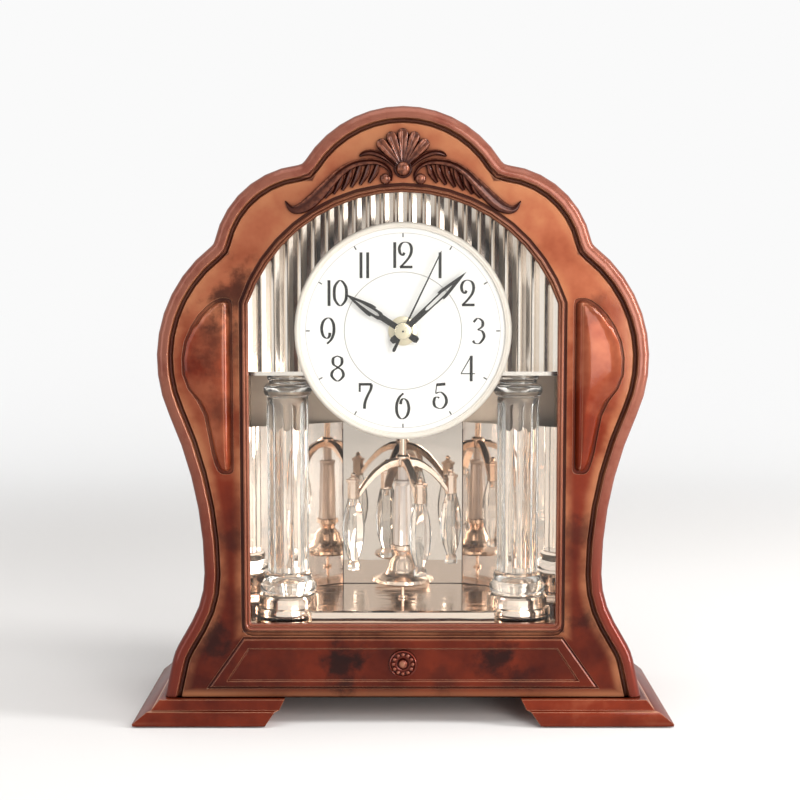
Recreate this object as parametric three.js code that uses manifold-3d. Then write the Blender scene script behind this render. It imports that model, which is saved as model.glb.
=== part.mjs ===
// Desk clock with a rotating pendulum in a moulded case.
// Millimetres. +X right, +Y away from the viewer, +Z up; the table is z = 0.
import * as THREE from "three";
import { mergeVertices } from "three/addons/utils/BufferGeometryUtils.js";
import Module from "manifold-3d";

const wasm = await Module();
wasm.setup();

// General fits
const GAP = 0.3;
const SAGITTA = 0.2;
const WALL = 2.6;

// Case outline, right half: three lobes, a waist and a flared skirt
const CASE_BOTTOM = 13.9;
const TOP_LOBE = { x: 0, z: 253.5, r: 57.5 };
const SHOULDER_LOBE = { x: 46.7, z: 234.1, r: 48.3 };
const SIDE_LOBE = { x: 52.8, z: 185.8, r: 70.6 };
const CUSP_RADIUS = 4.5;
const WAIST = { x: 100.8, z: 77 };
const LOWER_WAIST_RADIUS = 50;
const FLARE_ANGLE = 30;
const FLARE_END_Z = 40.5;
const SKIRT_RADIUS = 30;
const SKIRT_ANGLE = 12.5;

// Case section, from the front moulding to the back cover
const FIELD_Y = -44;
const FASCIA_BACK_Y = FIELD_Y + 3;
const PARTING_Y = -22;
const CASE_REAR_Y = 49.5;
const REAR_DRAFT = 1.2;
const MOULDING_START_Y = -40.5;
const OVOLO_WIDTH = 5.2;
const OVOLO_REACH = 4.9;
const LIP_WIDTH = 0.7;
const GROOVE_WIDTH = 2.9;
const GROOVE_DEPTH = 1.7;
const MOULDING_WIDTH = OVOLO_WIDTH + LIP_WIDTH + GROOVE_WIDTH;

// Window and its bead frame
const WINDOW_HALF_WIDTH = 77.3;
const WINDOW_ARCH_Z = 187;
const WINDOW_ARCH_RADIUS = 81.7;
const WINDOW_BOTTOM = 51.5;
const WINDOW_CORNER = 1;
const SILL_SCALE = 1.37;
const FRAME_SECTION = [[-0.3, -44.2], [0.6, -45.2], [1.2, -44.8], [1.9, -45.6], [2.6, -45.4], [3.1, -44.2]];
const FRAME_WIDTH = 3.1;
const FRAME_GROOVE_END = 4.5;
const FRAME_GROOVE_Y = -42.8;
const LENS_OVERLAP = 3.5;
const LENS_THICKNESS = 1.5;
const LENS_FRONT_Y = FASCIA_BACK_Y + GAP;
const LENS_BACK_Y = LENS_FRONT_Y + LENS_THICKNESS;

// Base panel below the window, and its rosette
const PANEL_OUTER = { topZ: 44, topHalf: 80.6, bottomZ: 18.9, bottomHalf: 98.3 };
const PANEL_INNER = { topZ: 39.1, topHalf: 78.4, bottomZ: 22, bottomHalf: 89.6 };
const PANEL_GROOVE = 0.8;
const PANEL_RISE = 0.9;
const PANEL_RECESS = 1.2;
const ROSETTE_Z = 31;
const ROSETTE_RADIUS = 7;
const ROSETTE_BEADS = 12;
const ROSETTE_BEAD_CIRCLE = 4.9;
const ROSETTE_BEAD = [[1.25, -0.3], [1.15, -1.3], [0.7, -1.9], [0, -2.1]];
const DOME_RADIUS = 2.7;

// Raised ornament on the field over the window: drawn for the right side, from the crest ball's centre, for a
// field of ORNAMENT_SPACE between the window frame and the moulding. Ribs are [x, z, width, height].
const SEAT_Y = FIELD_Y - GAP;
const ORNAMENT_EDGE = 0.4;
const ORNAMENT_SPACE = 30.4;
const CREST_BALL_RISE = 8.2;
const CREST_BALL = [[4.6, 0], [4.6, 0.8], [4, 1.3], [3.4, 1.2], [3.4, 1.7], [3, 3], [1.8, 4], [0, 4.3]];
const PETAL = [[1, 1.8, 0.9], [6, 2.9, 2], [12, 4.7, 2.8], [16.3, 5.7, 2.9], [18.8, 4.4, 2.3], [19.7, 1, 1]];
const PETAL_ANGLES = [0, 20, 41];
const PETAL_SCALES = [1, 0.97, 0.94];
const CREST_LEAF = [[3.4, 0.6, 1.4, 1.2], [7.2, 4.2, 2.2, 1.8], [11.2, 6.7, 2.9, 2], [15.2, 7.9, 3, 1.9],
  [18.4, 7.7, 2.6, 1.6], [20.5, 6.8, 1.8, 1.2], [21.4, 6, 0.5, 0.6]];
const ARM_LINE = [[5.8, -5.8, 0.8, 0.8], [5.8, -2.6, 1.5, 1.3], [8, 0.9, 2.4, 1.9], [12, 3, 3, 2.3],
  [17.5, 3.4, 3.4, 2.4], [24.5, 2, 3.8, 2.4], [31, -2, 4.6, 2.4], [38, -9, 5.8, 2.3], [45, -15.8, 6.4, 2],
  [50.5, -19.4, 5.2, 1.8], [55, -19.6, 3.4, 1.5], [58.2, -15.8, 0.5, 0.7]];
const VOLUTE = { x: 8.7, z: -5, profile: [[2.7, 0], [2.7, 1.1], [2.4, 2], [1.5, 2.7], [0, 3]] };
const FROND_STARTS = [12.4, 16.8, 21.2, 25.6, 30, 34.2];
const FROND = { reach: 4.4, root: [2.2, 1.4], middle: [3.3, 1.8], tip: [1.6, 1] };

// Side panels: straight inner edge, and the outer edge as [z, x]; they sit in shallow seats
const SIDE_PANEL_INNER = 86.3;
const SIDE_PANEL_CORNER = 2.4;
const SIDE_PANEL_EDGE = [[129.4, 89.2], [129.9, 90.6], [131.1, 91.8], [134, 93.1], [140, 94.7], [148, 96.2],
  [158, 98.2], [165, 101.6], [171, 106.2], [178, 108.9], [186, 109.2], [194, 107.8], [201, 104.7], [207, 100.6],
  [211.5, 96.2], [213.8, 92.8], [214.6, 91], [215, 89.4]];
const SIDE_PANEL_RISE = 2.9;
const SIDE_PANEL_SEAT = 1.3;
const SIDE_PANEL_MARGIN = 1.3;

// Foot sections from the top down: inner and outer end, half depth, height
const FOOT_SECTIONS = [
  [60, 123.4, 48.8, 13.6],
  [62.6, 127.4, 49.6, 8.4],
  [64.8, 129.6, 51.2, 7.8],
  [69, 136.8, 52.5, 2],
  [69.6, 136.6, 52.2, 0.8],
];
const FOOT_PEG = { x: 92, ys: [-8, 36], r: 2.4, top: 21 };
const PAD = { x: 102, y: 38, r: 5.5, thickness: 2.2 };

// Back cover, its screws and the hinged access door
const COVER_THICKNESS = 2.6;
const COVER_FRONT_Y = 46;
const COVER_REAR_Y = COVER_FRONT_Y + COVER_THICKNESS;
const BOSSES = [[101, 24], [96, 226]];
const BOSS_RADIUS = 4.2;
const BOSS_LENGTH = 22;
const SCREW_RADIUS = 1.2;
const SCREW_HEAD = { r: 3.2, height: 1.5 };
const SCREW_LENGTH = 12;
const DOOR_THICKNESS = 2.4;
const HINGE = { y: 47.6, z: 162, pin: 1, knuckle: 1.4, reach: 2.8, lug: 4.5 };

// Floor, mirrors and the fluted backdrop inside the window
const TRAY = { halfWidth: 100, bottom: 48, top: 50, rearY: 45 };
const STEP = { top: 55.3, frontY: -33, frontHalf: 47, sideY: -13, rearY: 41 };
const PLINTH = [[17.5, 51], [17.5, 53.7], [17, 54.8], [15.9, 55.3], [15.7, 56], [15.7, 60], [15.1, 61.1], [14, 61.5]];
const LINER_OFFSET = 6.7;
const LINER_WALL = 2;
const LINER_HALF_WIDTH = WINDOW_HALF_WIDTH + LINER_OFFSET;
const FLUTED_Y = -2;
const FLUTED_THICKNESS = 3.5;
const FLUTE_PITCH = 7.2;
const FLUTE_RADIUS = 4.2;
const FLUTE_DEPTH = 1.6;
const SOFFIT_Z = 176.5;
const SOFFIT_FRONT_Y = -27;
const LINTEL_Y = 37.8;
const LINTEL_BOTTOM = 142;
const MIRROR_TOP = 146;
const MIRROR_THICKNESS = 1.5;
const CENTRE_MIRROR_HALF = 33;
const MIRROR_Y = LINTEL_Y - GAP - MIRROR_THICKNESS;
const WING_ANGLE = 28;

// Columns
const COLUMN = { x: 60, y: -14, r: 10.8, bottom: 73.3, top: 164.6, headZ: 160, flutes: 10, depth: 1.1 };
const CAPITAL_HEIGHTS = [[11, GAP], [12.1, 1.2], [12.8, 3.2], [12.4, 5.2], [11.2, 6.6], [9.8, 7.2],
  [9.8, 8.6], [10.8, 9.6], [10.8, 11.6]];
const CAPITAL_PROFILE = CAPITAL_HEIGHTS.map(([r, up]) => [r, COLUMN.top + up]);
const COLUMN_BASE_PROFILE = [[13.8, 61.8], [14.5, 62.6], [14.9, 64.2], [14.4, 66.4], [13.2, 67.8],
  [12.2, 68.4], [12.6, 70], [12.4, 71.8], [11.4, 73]];

// Dial, its bezel and what holds them
const DIAL_Z = 199.5;
const DIAL_FRONT_Y = -31.5;
const DIAL_THICKNESS = 1.2;
const DIAL_RADIUS = 52.5;
const BEZEL_OUTER = DIAL_RADIUS + 2.5;
const BEZEL_INNER = DIAL_RADIUS - 0.7;
const BEZEL_FRONT_Y = -34;
const WELL = { halfWidth: 36, halfHeight: 42, corner: 12, wall: 2, frontY: -29.9 };
const MOVEMENT = { half: 28, thickness: 15, frontY: -27.6 };
const BATTERY = { r: 7.25, half: 25.25, z: 181, y: -19, button: 2.6 };
const POST = { outer: 4, bore: 3.2, frontY: -34.3 };
const ARBOR_REAR_Y = -24.5;
const WASHER = { r: 7.4, thickness: 0.6 };
const NUT = { r: 5.8, thickness: 1.5 };
const KNOB = { r: 7, thickness: 6, stub: 1.5, stubLength: 5 };

// Hands: angle clockwise from twelve, length, tail, front and thickness
const HOUR = { angle: 302.9, length: 35, tail: 9, frontY: -35.1, hub: 4.4, wide: 2.9, at: 19.5, slot: [14.4, 29] };
const MINUTE = { angle: 46.9, length: 43.6, tail: 8, frontY: -36.2, hub: 3.9, wide: 2.4, at: 27.5, slot: [15.5, 34] };
const SECOND = { angle: 25.6, length: 44.9, tail: 11.4, frontY: -37.2, hub: 2.4 };
const HAND_THICKNESS = 0.5;
const HOUR_PIPE = { outer: 2.8, bore: 2.1 };
const MINUTE_PIPE = { outer: 1.7, bore: 0.9 };
const SECOND_PIN = 0.5;
const CAP = { r: 4.25, thickness: 0.9 };

// Pendulum and its drive
const PENDULUM_Y = 0.5;
const PENDANT_CIRCLE = 27.5;
const PENDANT_TURN = 19;
const ROD_RADIUS = 1.75;
const DRIVE = { half: 16, frontY: -12, rearY: 13, bottom: 160, top: 171 };
const BUSH = { body: 2.7, flange: 4.5, bore: ROD_RADIUS + GAP };
const HUB = { r: 3.9, bottom: 126.2, top: 132.6 };
const ARM = { start: 2.8, end: 24.8, topZ: 128.9, drop: 16, width: 4.2, height: 4.4 };
const SOCKET = { r: 3.2, bottom: 110.4, top: 120.4 };
const PENDANT_PROFILE = [[3.2, 72.3], [3.6, 73.2], [3.4, 75.6], [2.4, 77.4], [3.4, 79.4], [5.2, 84.5],
  [6.2, 90.5], [6.3, 95], [5.6, 101], [4.3, 106.4], [3.3, 109], [3.3, 110.1]];
const STEM_RADIUS = 1;
const SHAFT = { r: 5.2, bottom: 84.3, top: 119, sleeve: 2.7, sleeveTop: 125.9, flutes: 10, depth: 0.6 };
const PENDULUM_BASE_PROFILE = [[15.2, 64.2], [16.5, 65.2], [15.9, 66.8], [12.4, 67.8], [9.4, 69.6],
  [7.6, 72.4], [7, 75.6], [4.4, 78.6], [4.9, 81], [6.4, 81.8], [6.4, 84]];
const GUIDE_PIN = { r: 0.7, top: 68.2, flange: 2.4 };

const radians = THREE.MathUtils.degToRad;
const degrees = THREE.MathUtils.radToDeg;

// Geometry helpers

// Merges equal corners, drops empty faces and turns the surface to face out.
function tidy(geometry) {
  geometry.deleteAttribute("normal");
  geometry.deleteAttribute("uv");
  const merged = mergeVertices(geometry, 1e-4);
  const corner = merged.getAttribute("position");
  const index = merged.index.array;
  const faces = [];
  let volume = 0;
  const [a, b, c] = [new THREE.Vector3(), new THREE.Vector3(), new THREE.Vector3()];
  for (let i = 0; i < index.length; i += 3) {
    const [p, q, r] = index.slice(i, i + 3);
    if (p === q || q === r || r === p) continue;
    faces.push([p, q, r]);
    a.fromBufferAttribute(corner, p);
    b.fromBufferAttribute(corner, q);
    c.fromBufferAttribute(corner, r);
    volume += a.dot(b.cross(c));
  }
  merged.setIndex((volume < 0 ? faces.map((f) => f.reverse()) : faces).flat());
  return merged;
}

function toSolid(geometry) {
  return new wasm.Manifold(new wasm.Mesh({
    numProp: 3,
    vertProperties: new Float32Array(geometry.getAttribute("position").array),
    triVerts: new Uint32Array(geometry.index.array),
  }));
}

function toGeometry(solid) {
  const mesh = solid.getMesh();
  const made = new THREE.BufferGeometry();
  made.setAttribute("position", new THREE.BufferAttribute(new Float32Array(mesh.vertProperties), 3));
  made.setIndex(new THREE.BufferAttribute(new Uint32Array(mesh.triVerts), 1));
  return made;
}

function join(...geometries) {
  return toGeometry(geometries.map(toSolid).reduce((whole, next) => whole.add(next)));
}

function cut(geometry, ...tools) {
  return toGeometry(tools.map(toSolid).reduce((whole, tool) => whole.subtract(tool), toSolid(geometry)));
}

function common(a, b) {
  return toGeometry(toSolid(a).intersect(toSolid(b)));
}

function moved(geometry, x, y, z) {
  return geometry.clone().translate(x, y, z);
}

function mirrored(geometry) {
  return tidy(geometry.clone().scale(-1, 1, 1));
}

// A solid through rings of equally many points; a looped one joins the last ring to the first.
function loft(rings, looped = false) {
  const count = rings[0].length;
  const faces = [];
  const spans = looped ? rings.length : rings.length - 1;
  for (let s = 0; s < spans; s++) {
    const here = s * count;
    const next = ((s + 1) % rings.length) * count;
    for (let i = 0; i < count; i++) {
      const j = (i + 1) % count;
      faces.push(here + i, here + j, next + j, here + i, next + j, next + i);
    }
  }
  if (!looped) {
    faces.push(...capFaces(rings[0]).map(([p, q, r]) => [r, q, p]).flat());
    const last = (rings.length - 1) * count;
    faces.push(...capFaces(rings.at(-1)).flat().map((i) => i + last));
  }
  const made = new THREE.BufferGeometry();
  made.setAttribute("position", new THREE.Float32BufferAttribute(rings.flat(2), 3));
  made.setIndex(faces);
  return tidy(made);
}

// Triangles over a flat ring, wound the way the ring runs.
function capFaces(ring) {
  const normal = new THREE.Vector3();
  ring.forEach((p, i) => {
    const q = ring[(i + 1) % ring.length];
    normal.x += (p[1] - q[1]) * (p[2] + q[2]);
    normal.y += (p[2] - q[2]) * (p[0] + q[0]);
    normal.z += (p[0] - q[0]) * (p[1] + q[1]);
  });
  const size = [Math.abs(normal.x), Math.abs(normal.y), Math.abs(normal.z)];
  const drop = size.indexOf(Math.max(...size));
  const [u, v] = [(drop + 1) % 3, (drop + 2) % 3];
  const flat = ring.map((p) => new THREE.Vector2(p[u], p[v]));
  const faces = THREE.ShapeUtils.triangulateShape(flat, []);
  const faceTurn = (f) => THREE.ShapeUtils.area(f.map((i) => flat[i]));
  const ringTurn = THREE.ShapeUtils.area(flat);
  return faces.map((f) => (faceTurn(f) * ringTurn < 0 ? [...f].reverse() : f));
}

// An outline in x and z at one depth.
function ring(outline, y) {
  return outline.map(([x, z]) => [x, y, z]);
}

function prism(outline, frontY, rearY) {
  return loft([ring(outline, frontY), ring(outline, rearY)]);
}

// Solid between two outlines with equally many points.
function frameBetween(outer, inner, frontY, rearY) {
  return loft([ring(outer, frontY), ring(outer, rearY), ring(inner, rearY), ring(inner, frontY)], true);
}

function box(x0, x1, y0, y1, z0, z1) {
  const made = new THREE.BoxGeometry(x1 - x0, y1 - y0, z1 - z0);
  return tidy(made.translate((x0 + x1) / 2, (y0 + y1) / 2, (z0 + z1) / 2));
}

// A solid turned round the upright axis; the profile lists [radius, z] from one end to the other.
function turned(profile, segments = 24, hole = 0) {
  const inner = hole ? [[hole, profile.at(-1)[1]], [hole, profile[0][1]], profile[0]] : [[0, profile.at(-1)[1]]];
  const start = hole ? [] : [[0, profile[0][1]]];
  const points = [...start, ...profile, ...inner].map(([r, z]) => new THREE.Vector2(r, z));
  return tidy(new THREE.LatheGeometry(points, segments).rotateX(Math.PI / 2));
}

// The same, round an axis that runs front to back through the dial centre; [radius, y].
function turnedOnDial(profile, segments = 24, hole = 0) {
  return tidy(turned(profile, segments, hole).rotateX(-Math.PI / 2)).translate(0, 0, DIAL_Z);
}

function rodAlongY(x, z, radius, frontY, rearY, segments = 12) {
  const made = turned([[radius, frontY], [radius, rearY]], segments).rotateX(-Math.PI / 2);
  return tidy(made.translate(x, 0, z));
}

function rodAlongX(x0, x1, y, z, radius, segments = 12) {
  const made = turned([[radius, x0], [radius, x1]], segments).rotateY(Math.PI / 2);
  return tidy(made.translate(0, y, z));
}

function polar(x, z, radius, angle) {
  return [x + radius * Math.cos(radians(angle)), z + radius * Math.sin(radians(angle))];
}

function arc(x, z, radius, from, to, steps) {
  return Array.from({ length: steps + 1 }, (_, i) => polar(x, z, radius, from + ((to - from) * i) / steps));
}

function stepsFor(radius, span) {
  return Math.max(1, Math.ceil(Math.abs(radians(span)) / (2 * Math.acos(1 - SAGITTA / radius))));
}

// A full outline from its right half, which starts at the top centre.
function bothSides(right) {
  const left = right.slice(1).reverse().map(([x, z]) => [-x, z]);
  return [...right, ...left];
}

function heading(from, to) {
  return degrees(Math.atan2(to.z - from.z, to.x - from.x));
}

// Case outline

function cuspBetween(a, b) {
  const reachA = a.r + CUSP_RADIUS;
  const reachB = b.r + CUSP_RADIUS;
  const span = Math.hypot(b.x - a.x, b.z - a.z);
  const along = (reachA ** 2 - reachB ** 2 + span ** 2) / (2 * span);
  const across = Math.sqrt(reachA ** 2 - along ** 2);
  const [ux, uz] = [(b.x - a.x) / span, (b.z - a.z) / span];
  return { x: a.x + along * ux - across * uz, z: a.z + along * uz + across * ux, r: CUSP_RADIUS };
}

// Arcs down the right side; a hollow arc grows where the others shrink.
function caseArcs() {
  const upperCusp = cuspBetween(TOP_LOBE, SHOULDER_LOBE);
  const lowerCusp = cuspBetween(SHOULDER_LOBE, SIDE_LOBE);
  const aside = WAIST.x - SIDE_LOBE.x;
  const below = WAIST.z - SIDE_LOBE.z;
  const waistRadius = (aside ** 2 + below ** 2 - SIDE_LOBE.r ** 2) / (2 * (SIDE_LOBE.r - aside));
  const upperWaist = { x: WAIST.x + waistRadius, z: WAIST.z, r: waistRadius };
  const lowerWaist = { x: WAIST.x + LOWER_WAIST_RADIUS, z: WAIST.z, r: LOWER_WAIST_RADIUS };
  const [flareX, flareZ] = polar(lowerWaist.x, lowerWaist.z, lowerWaist.r, 180 + FLARE_ANGLE);
  const endX = flareX + (flareZ - FLARE_END_Z) * Math.tan(radians(FLARE_ANGLE));
  const [skirtX, skirtZ] = polar(endX, FLARE_END_Z, -SKIRT_RADIUS, FLARE_ANGLE);
  const hollow = true;
  return [
    { ...TOP_LOBE, from: 90, to: heading(TOP_LOBE, upperCusp), start: true },
    { ...upperCusp, from: heading(upperCusp, TOP_LOBE), to: heading(upperCusp, SHOULDER_LOBE), hollow },
    { ...SHOULDER_LOBE, from: heading(SHOULDER_LOBE, upperCusp), to: heading(SHOULDER_LOBE, lowerCusp) },
    { ...lowerCusp, from: heading(lowerCusp, SHOULDER_LOBE), to: heading(lowerCusp, SIDE_LOBE), hollow },
    { ...SIDE_LOBE, from: heading(SIDE_LOBE, lowerCusp), to: heading(SIDE_LOBE, upperWaist) },
    { ...upperWaist, from: heading(upperWaist, SIDE_LOBE), to: 180, hollow },
    { ...lowerWaist, from: 180, to: 180 + FLARE_ANGLE, hollow },
    { x: skirtX, z: skirtZ, r: SKIRT_RADIUS, from: FLARE_ANGLE, to: SKIRT_ANGLE, start: true },
  ];
}

const CASE_ARCS = caseArcs();

function caseOutline(inset, bottom = CASE_BOTTOM) {
  const right = CASE_ARCS.flatMap(({ x, z, r, from, to, hollow, start }) => {
    const radius = hollow ? r + inset : r - inset;
    return arc(x, z, radius, from, to, stepsFor(r, to - from)).slice(start ? 0 : 1);
  });
  const [x, z] = right.at(-1);
  right.push([x + (z - bottom) * Math.tan(radians(SKIRT_ANGLE)), bottom]);
  return bothSides(right);
}

function windowOutline(offset) {
  const half = WINDOW_HALF_WIDTH + offset;
  const radius = WINDOW_ARCH_RADIUS + offset;
  const corner = WINDOW_CORNER + Math.max(offset, 0);
  const bottom = WINDOW_BOTTOM - offset * SILL_SCALE;
  const springing = degrees(Math.acos(WINDOW_HALF_WIDTH / WINDOW_ARCH_RADIUS));
  const arch = arc(0, WINDOW_ARCH_Z, radius, 90, springing, stepsFor(WINDOW_ARCH_RADIUS, 90 - springing));
  const topZ = WINDOW_ARCH_Z + Math.sqrt(radius ** 2 - half ** 2);
  arch[arch.length - 1] = [half, topZ];
  return bothSides([...arch, ...arc(half - corner, bottom + corner, corner, 0, -90, 3)]);
}

// Front case

// The moulding round the edge as [inset, y]: broad ovolo, lip, deep groove, then the flat field.
function mouldingSection() {
  const section = [];
  const steps = 5;
  for (let i = 0; i <= steps; i++) {
    const turn = radians(90 * (i / steps));
    section.push([OVOLO_WIDTH * (1 - Math.cos(turn)), MOULDING_START_Y - OVOLO_REACH * Math.sin(turn)]);
  }
  const crownY = MOULDING_START_Y - OVOLO_REACH;
  const lip = OVOLO_WIDTH + LIP_WIDTH;
  const grooveY = FIELD_Y + GROOVE_DEPTH;
  section.push([lip, crownY + 0.25 * LIP_WIDTH], [lip + 0.1 * GROOVE_WIDTH, FIELD_Y - 0.15 * GROOVE_DEPTH]);
  section.push([lip + 0.3 * GROOVE_WIDTH, grooveY - 0.1 * GROOVE_DEPTH], [lip + 0.6 * GROOVE_WIDTH, grooveY]);
  section.push([lip + 0.9 * GROOVE_WIDTH, FIELD_Y + 0.3 * GROOVE_DEPTH], [MOULDING_WIDTH, FIELD_Y]);
  return section;
}

function trapezoid({ topZ, topHalf, bottomZ, bottomHalf }, inset = 0) {
  const slope = (bottomHalf - topHalf) / (topZ - bottomZ);
  const side = inset * Math.hypot(1, slope);
  const halfAt = (z) => topHalf + (topZ - z) * slope - side;
  const [top, bottom] = [topZ - inset, bottomZ + inset];
  return [[halfAt(top), top], [halfAt(bottom), bottom], [-halfAt(bottom), bottom], [-halfAt(top), top]];
}

function basePanelBorder() {
  const faceY = FIELD_Y - PANEL_RISE;
  const border = loft([
    ring(trapezoid(PANEL_OUTER), FIELD_Y + 1),
    ring(trapezoid(PANEL_OUTER, 0.1), faceY + 0.4),
    ring(trapezoid(PANEL_OUTER, 0.6), faceY),
  ]);
  const recess = loft([
    ring(trapezoid(PANEL_INNER, 0.8), faceY + PANEL_RECESS),
    ring(trapezoid(PANEL_INNER), faceY),
    ring(trapezoid(PANEL_INNER, -0.5), faceY - 1),
  ]);
  return cut(border, recess);
}

function frontCase() {
  const rings = [ring(caseOutline(0), PARTING_Y), ...mouldingSection().map(([inset, y]) => ring(caseOutline(inset), y))];
  const cavity = prism(caseOutline(WALL, CASE_BOTTOM + WALL), FASCIA_BACK_Y, PARTING_Y + 1);
  const frameGroove = frameBetween(
    windowOutline(FRAME_GROOVE_END), windowOutline(FRAME_WIDTH - 0.1), FIELD_Y - 1, FRAME_GROOVE_Y);
  const panelGroove = frameBetween(
    trapezoid(PANEL_OUTER, -PANEL_GROOVE), trapezoid(PANEL_OUTER, 0.3), FIELD_Y - 1, FIELD_Y + PANEL_GROOVE);
  const frameRings = FRAME_SECTION.map(([offset, y]) => ring(windowOutline(offset), y));
  const rear = [ring(windowOutline(FRAME_WIDTH), FRAME_GROOVE_Y + 1), ring(windowOutline(-GAP), FRAME_GROOVE_Y + 1)];
  const frame = loft([...frameRings, ...rear], true);
  const window = prism(windowOutline(0), FIELD_Y - 3, PARTING_Y);
  const shell = cut(loft(rings), cavity, frameGroove, panelGroove);
  return cut(join(shell, frame, basePanelBorder()), window, rosetteSeat());
}

function rosetteSeat() {
  return rodAlongY(0, ROSETTE_Z, ROSETTE_RADIUS + 0.2, FIELD_Y - 2, FIELD_Y + 0.8, 32);
}

// A ring with beads; it sits in a round seat in the base panel.
function rosetteRing() {
  const backY = FIELD_Y + 0.8 - GAP;
  const rim = turned([[ROSETTE_RADIUS, backY], [ROSETTE_RADIUS, FIELD_Y - 1.2], [ROSETTE_RADIUS - 0.5, FIELD_Y - 1.6],
    [ROSETTE_RADIUS - 0.9, FIELD_Y - 1.2], [ROSETTE_RADIUS - 1.1, FIELD_Y - 0.5], [DOME_RADIUS + 0.9, FIELD_Y - 0.7],
    [DOME_RADIUS + GAP, FIELD_Y - 0.4]], 20, DOME_RADIUS + GAP);
  const plate = tidy(rim.rotateX(-Math.PI / 2)).translate(0, 0, ROSETTE_Z);
  const beads = Array.from({ length: ROSETTE_BEADS }, (_, i) => {
    const [x, z] = polar(0, ROSETTE_Z, ROSETTE_BEAD_CIRCLE, (i * 360) / ROSETTE_BEADS);
    return tidy(turned(ROSETTE_BEAD, 8).rotateX(-Math.PI / 2)).translate(x, FIELD_Y, z);
  });
  return join(plate, ...beads);
}

function rosetteDome() {
  const backY = FIELD_Y + 0.8 - GAP;
  const profile = [[DOME_RADIUS - 0.3, backY], [DOME_RADIUS - 0.3, FIELD_Y - 0.6], [DOME_RADIUS - 0.4, FIELD_Y - 1.2],
    [DOME_RADIUS * 0.7, FIELD_Y - 1.9], [DOME_RADIUS * 0.35, FIELD_Y - 2.2], [0, FIELD_Y - 2.3]];
  return tidy(turned(profile, 16).rotateX(-Math.PI / 2)).translate(0, 0, ROSETTE_Z);
}

// Rear case with its bosses, tray ledges and liner brackets; open at the front and the back.
function rearCase() {
  const frontY = PARTING_Y + GAP;
  const floorZ = CASE_BOTTOM + WALL;
  const shell = loft([
    ring(caseOutline(0), frontY),
    ring(caseOutline(REAR_DRAFT), CASE_REAR_Y),
    ring(caseOutline(REAR_DRAFT + WALL, floorZ), CASE_REAR_Y),
    ring(caseOutline(WALL, floorZ), frontY),
  ], true);
  const bossRear = COVER_FRONT_Y - GAP;
  const parts = [];
  for (const side of [1, -1]) {
    for (const [x, z] of BOSSES) {
      const sideways = [[x, x + 24], [-x - 24, -x]][side > 0 ? 0 : 1];
      parts.push(rodAlongY(side * x, z, BOSS_RADIUS, bossRear - BOSS_LENGTH, bossRear, 16));
      parts.push(box(...sideways, bossRear - BOSS_LENGTH, bossRear, z - 1.3, z + 1.3));
      parts.push(box(side * x - 1.3, side * x + 1.3, bossRear - BOSS_LENGTH, bossRear, z < 50 ? floorZ - 1 : z, z + 1));
    }
    const ledge = side > 0 ? [TRAY.halfWidth - 5, 125] : [-125, 5 - TRAY.halfWidth];
    parts.push(box(...ledge, frontY, TRAY.rearY, TRAY.bottom - GAP - 2, TRAY.bottom - GAP));
    const bracketX = LINER_HALF_WIDTH + LINER_WALL + GAP;
    const bracket = side > 0 ? [bracketX, 130] : [-130, -bracketX];
    parts.push(box(...bracket, 5, 9, 120, 123));
  }
  const envelope = loft([ring(caseOutline(1), frontY), ring(caseOutline(REAR_DRAFT + 1), CASE_REAR_Y)]);
  const insides = common(join(...parts), envelope);
  const holes = [1, -1].flatMap((side) => [
    ...BOSSES.map(([x, z]) => rodAlongY(side * x, z, SCREW_RADIUS + GAP, bossRear - SCREW_LENGTH, bossRear + 1)),
    ...FOOT_PEG.ys.map((y) => moved(turned([[FOOT_PEG.r + GAP, 10], [FOOT_PEG.r + GAP, 20]], 16), side * FOOT_PEG.x, y, 0)),
  ]);
  return cut(join(shell, insides), ...holes);
}

// Foot with two tiers, two pegs for the case floor and pockets for its pads.
function foot() {
  const rings = FOOT_SECTIONS.map(([inner, outer, half, z]) =>
    [[inner, -half, z], [outer, -half, z], [outer, half, z], [inner, half, z]]);
  const pegs = FOOT_PEG.ys.map((y) =>
    moved(turned([[FOOT_PEG.r, 8], [FOOT_PEG.r, FOOT_PEG.top - 1], [FOOT_PEG.r - 0.6, FOOT_PEG.top]], 10), FOOT_PEG.x, y, 0));
  const pocketTop = PAD.thickness + GAP;
  const pockets = [-PAD.y, PAD.y].map((y) =>
    moved(turned([[PAD.r + GAP, 0], [PAD.r + GAP, pocketTop]], 12), PAD.x, y, 0));
  return cut(join(loft(rings), ...pegs), ...pockets);
}

function footPad(side, y) {
  return moved(turned([[PAD.r - 0.4, 0], [PAD.r, 0.4], [PAD.r, PAD.thickness]], 12), side * PAD.x, y, 0);
}

// Ornament

// Cross-sections of the ribs as [across, rise], shares of half the width and of the height
const ROUND = [[-1, 0], [-0.72, 0.68], [0, 1], [0.72, 0.68], [1, 0]];
const RIMMED = [[-1, 0], [-0.85, 0.55], [-0.35, 0.8], [0.15, 0.55], [0.4, 0.6], [0.68, 1], [0.92, 0.8], [1, 0]];

const FRAME_TOP_Z = WINDOW_ARCH_Z + WINDOW_ARCH_RADIUS + FRAME_WIDTH;
const ORNAMENT_SCALE = (TOP_LOBE.z + TOP_LOBE.r - MOULDING_WIDTH - FRAME_TOP_Z) / ORNAMENT_SPACE;
const CREST_Z = FRAME_TOP_Z + CREST_BALL_RISE * ORNAMENT_SCALE;

function fromCrest([x, z, ...size]) {
  return [x * ORNAMENT_SCALE, CREST_Z + z * ORNAMENT_SCALE, ...size.map((value) => value * ORNAMENT_SCALE)];
}

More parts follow.
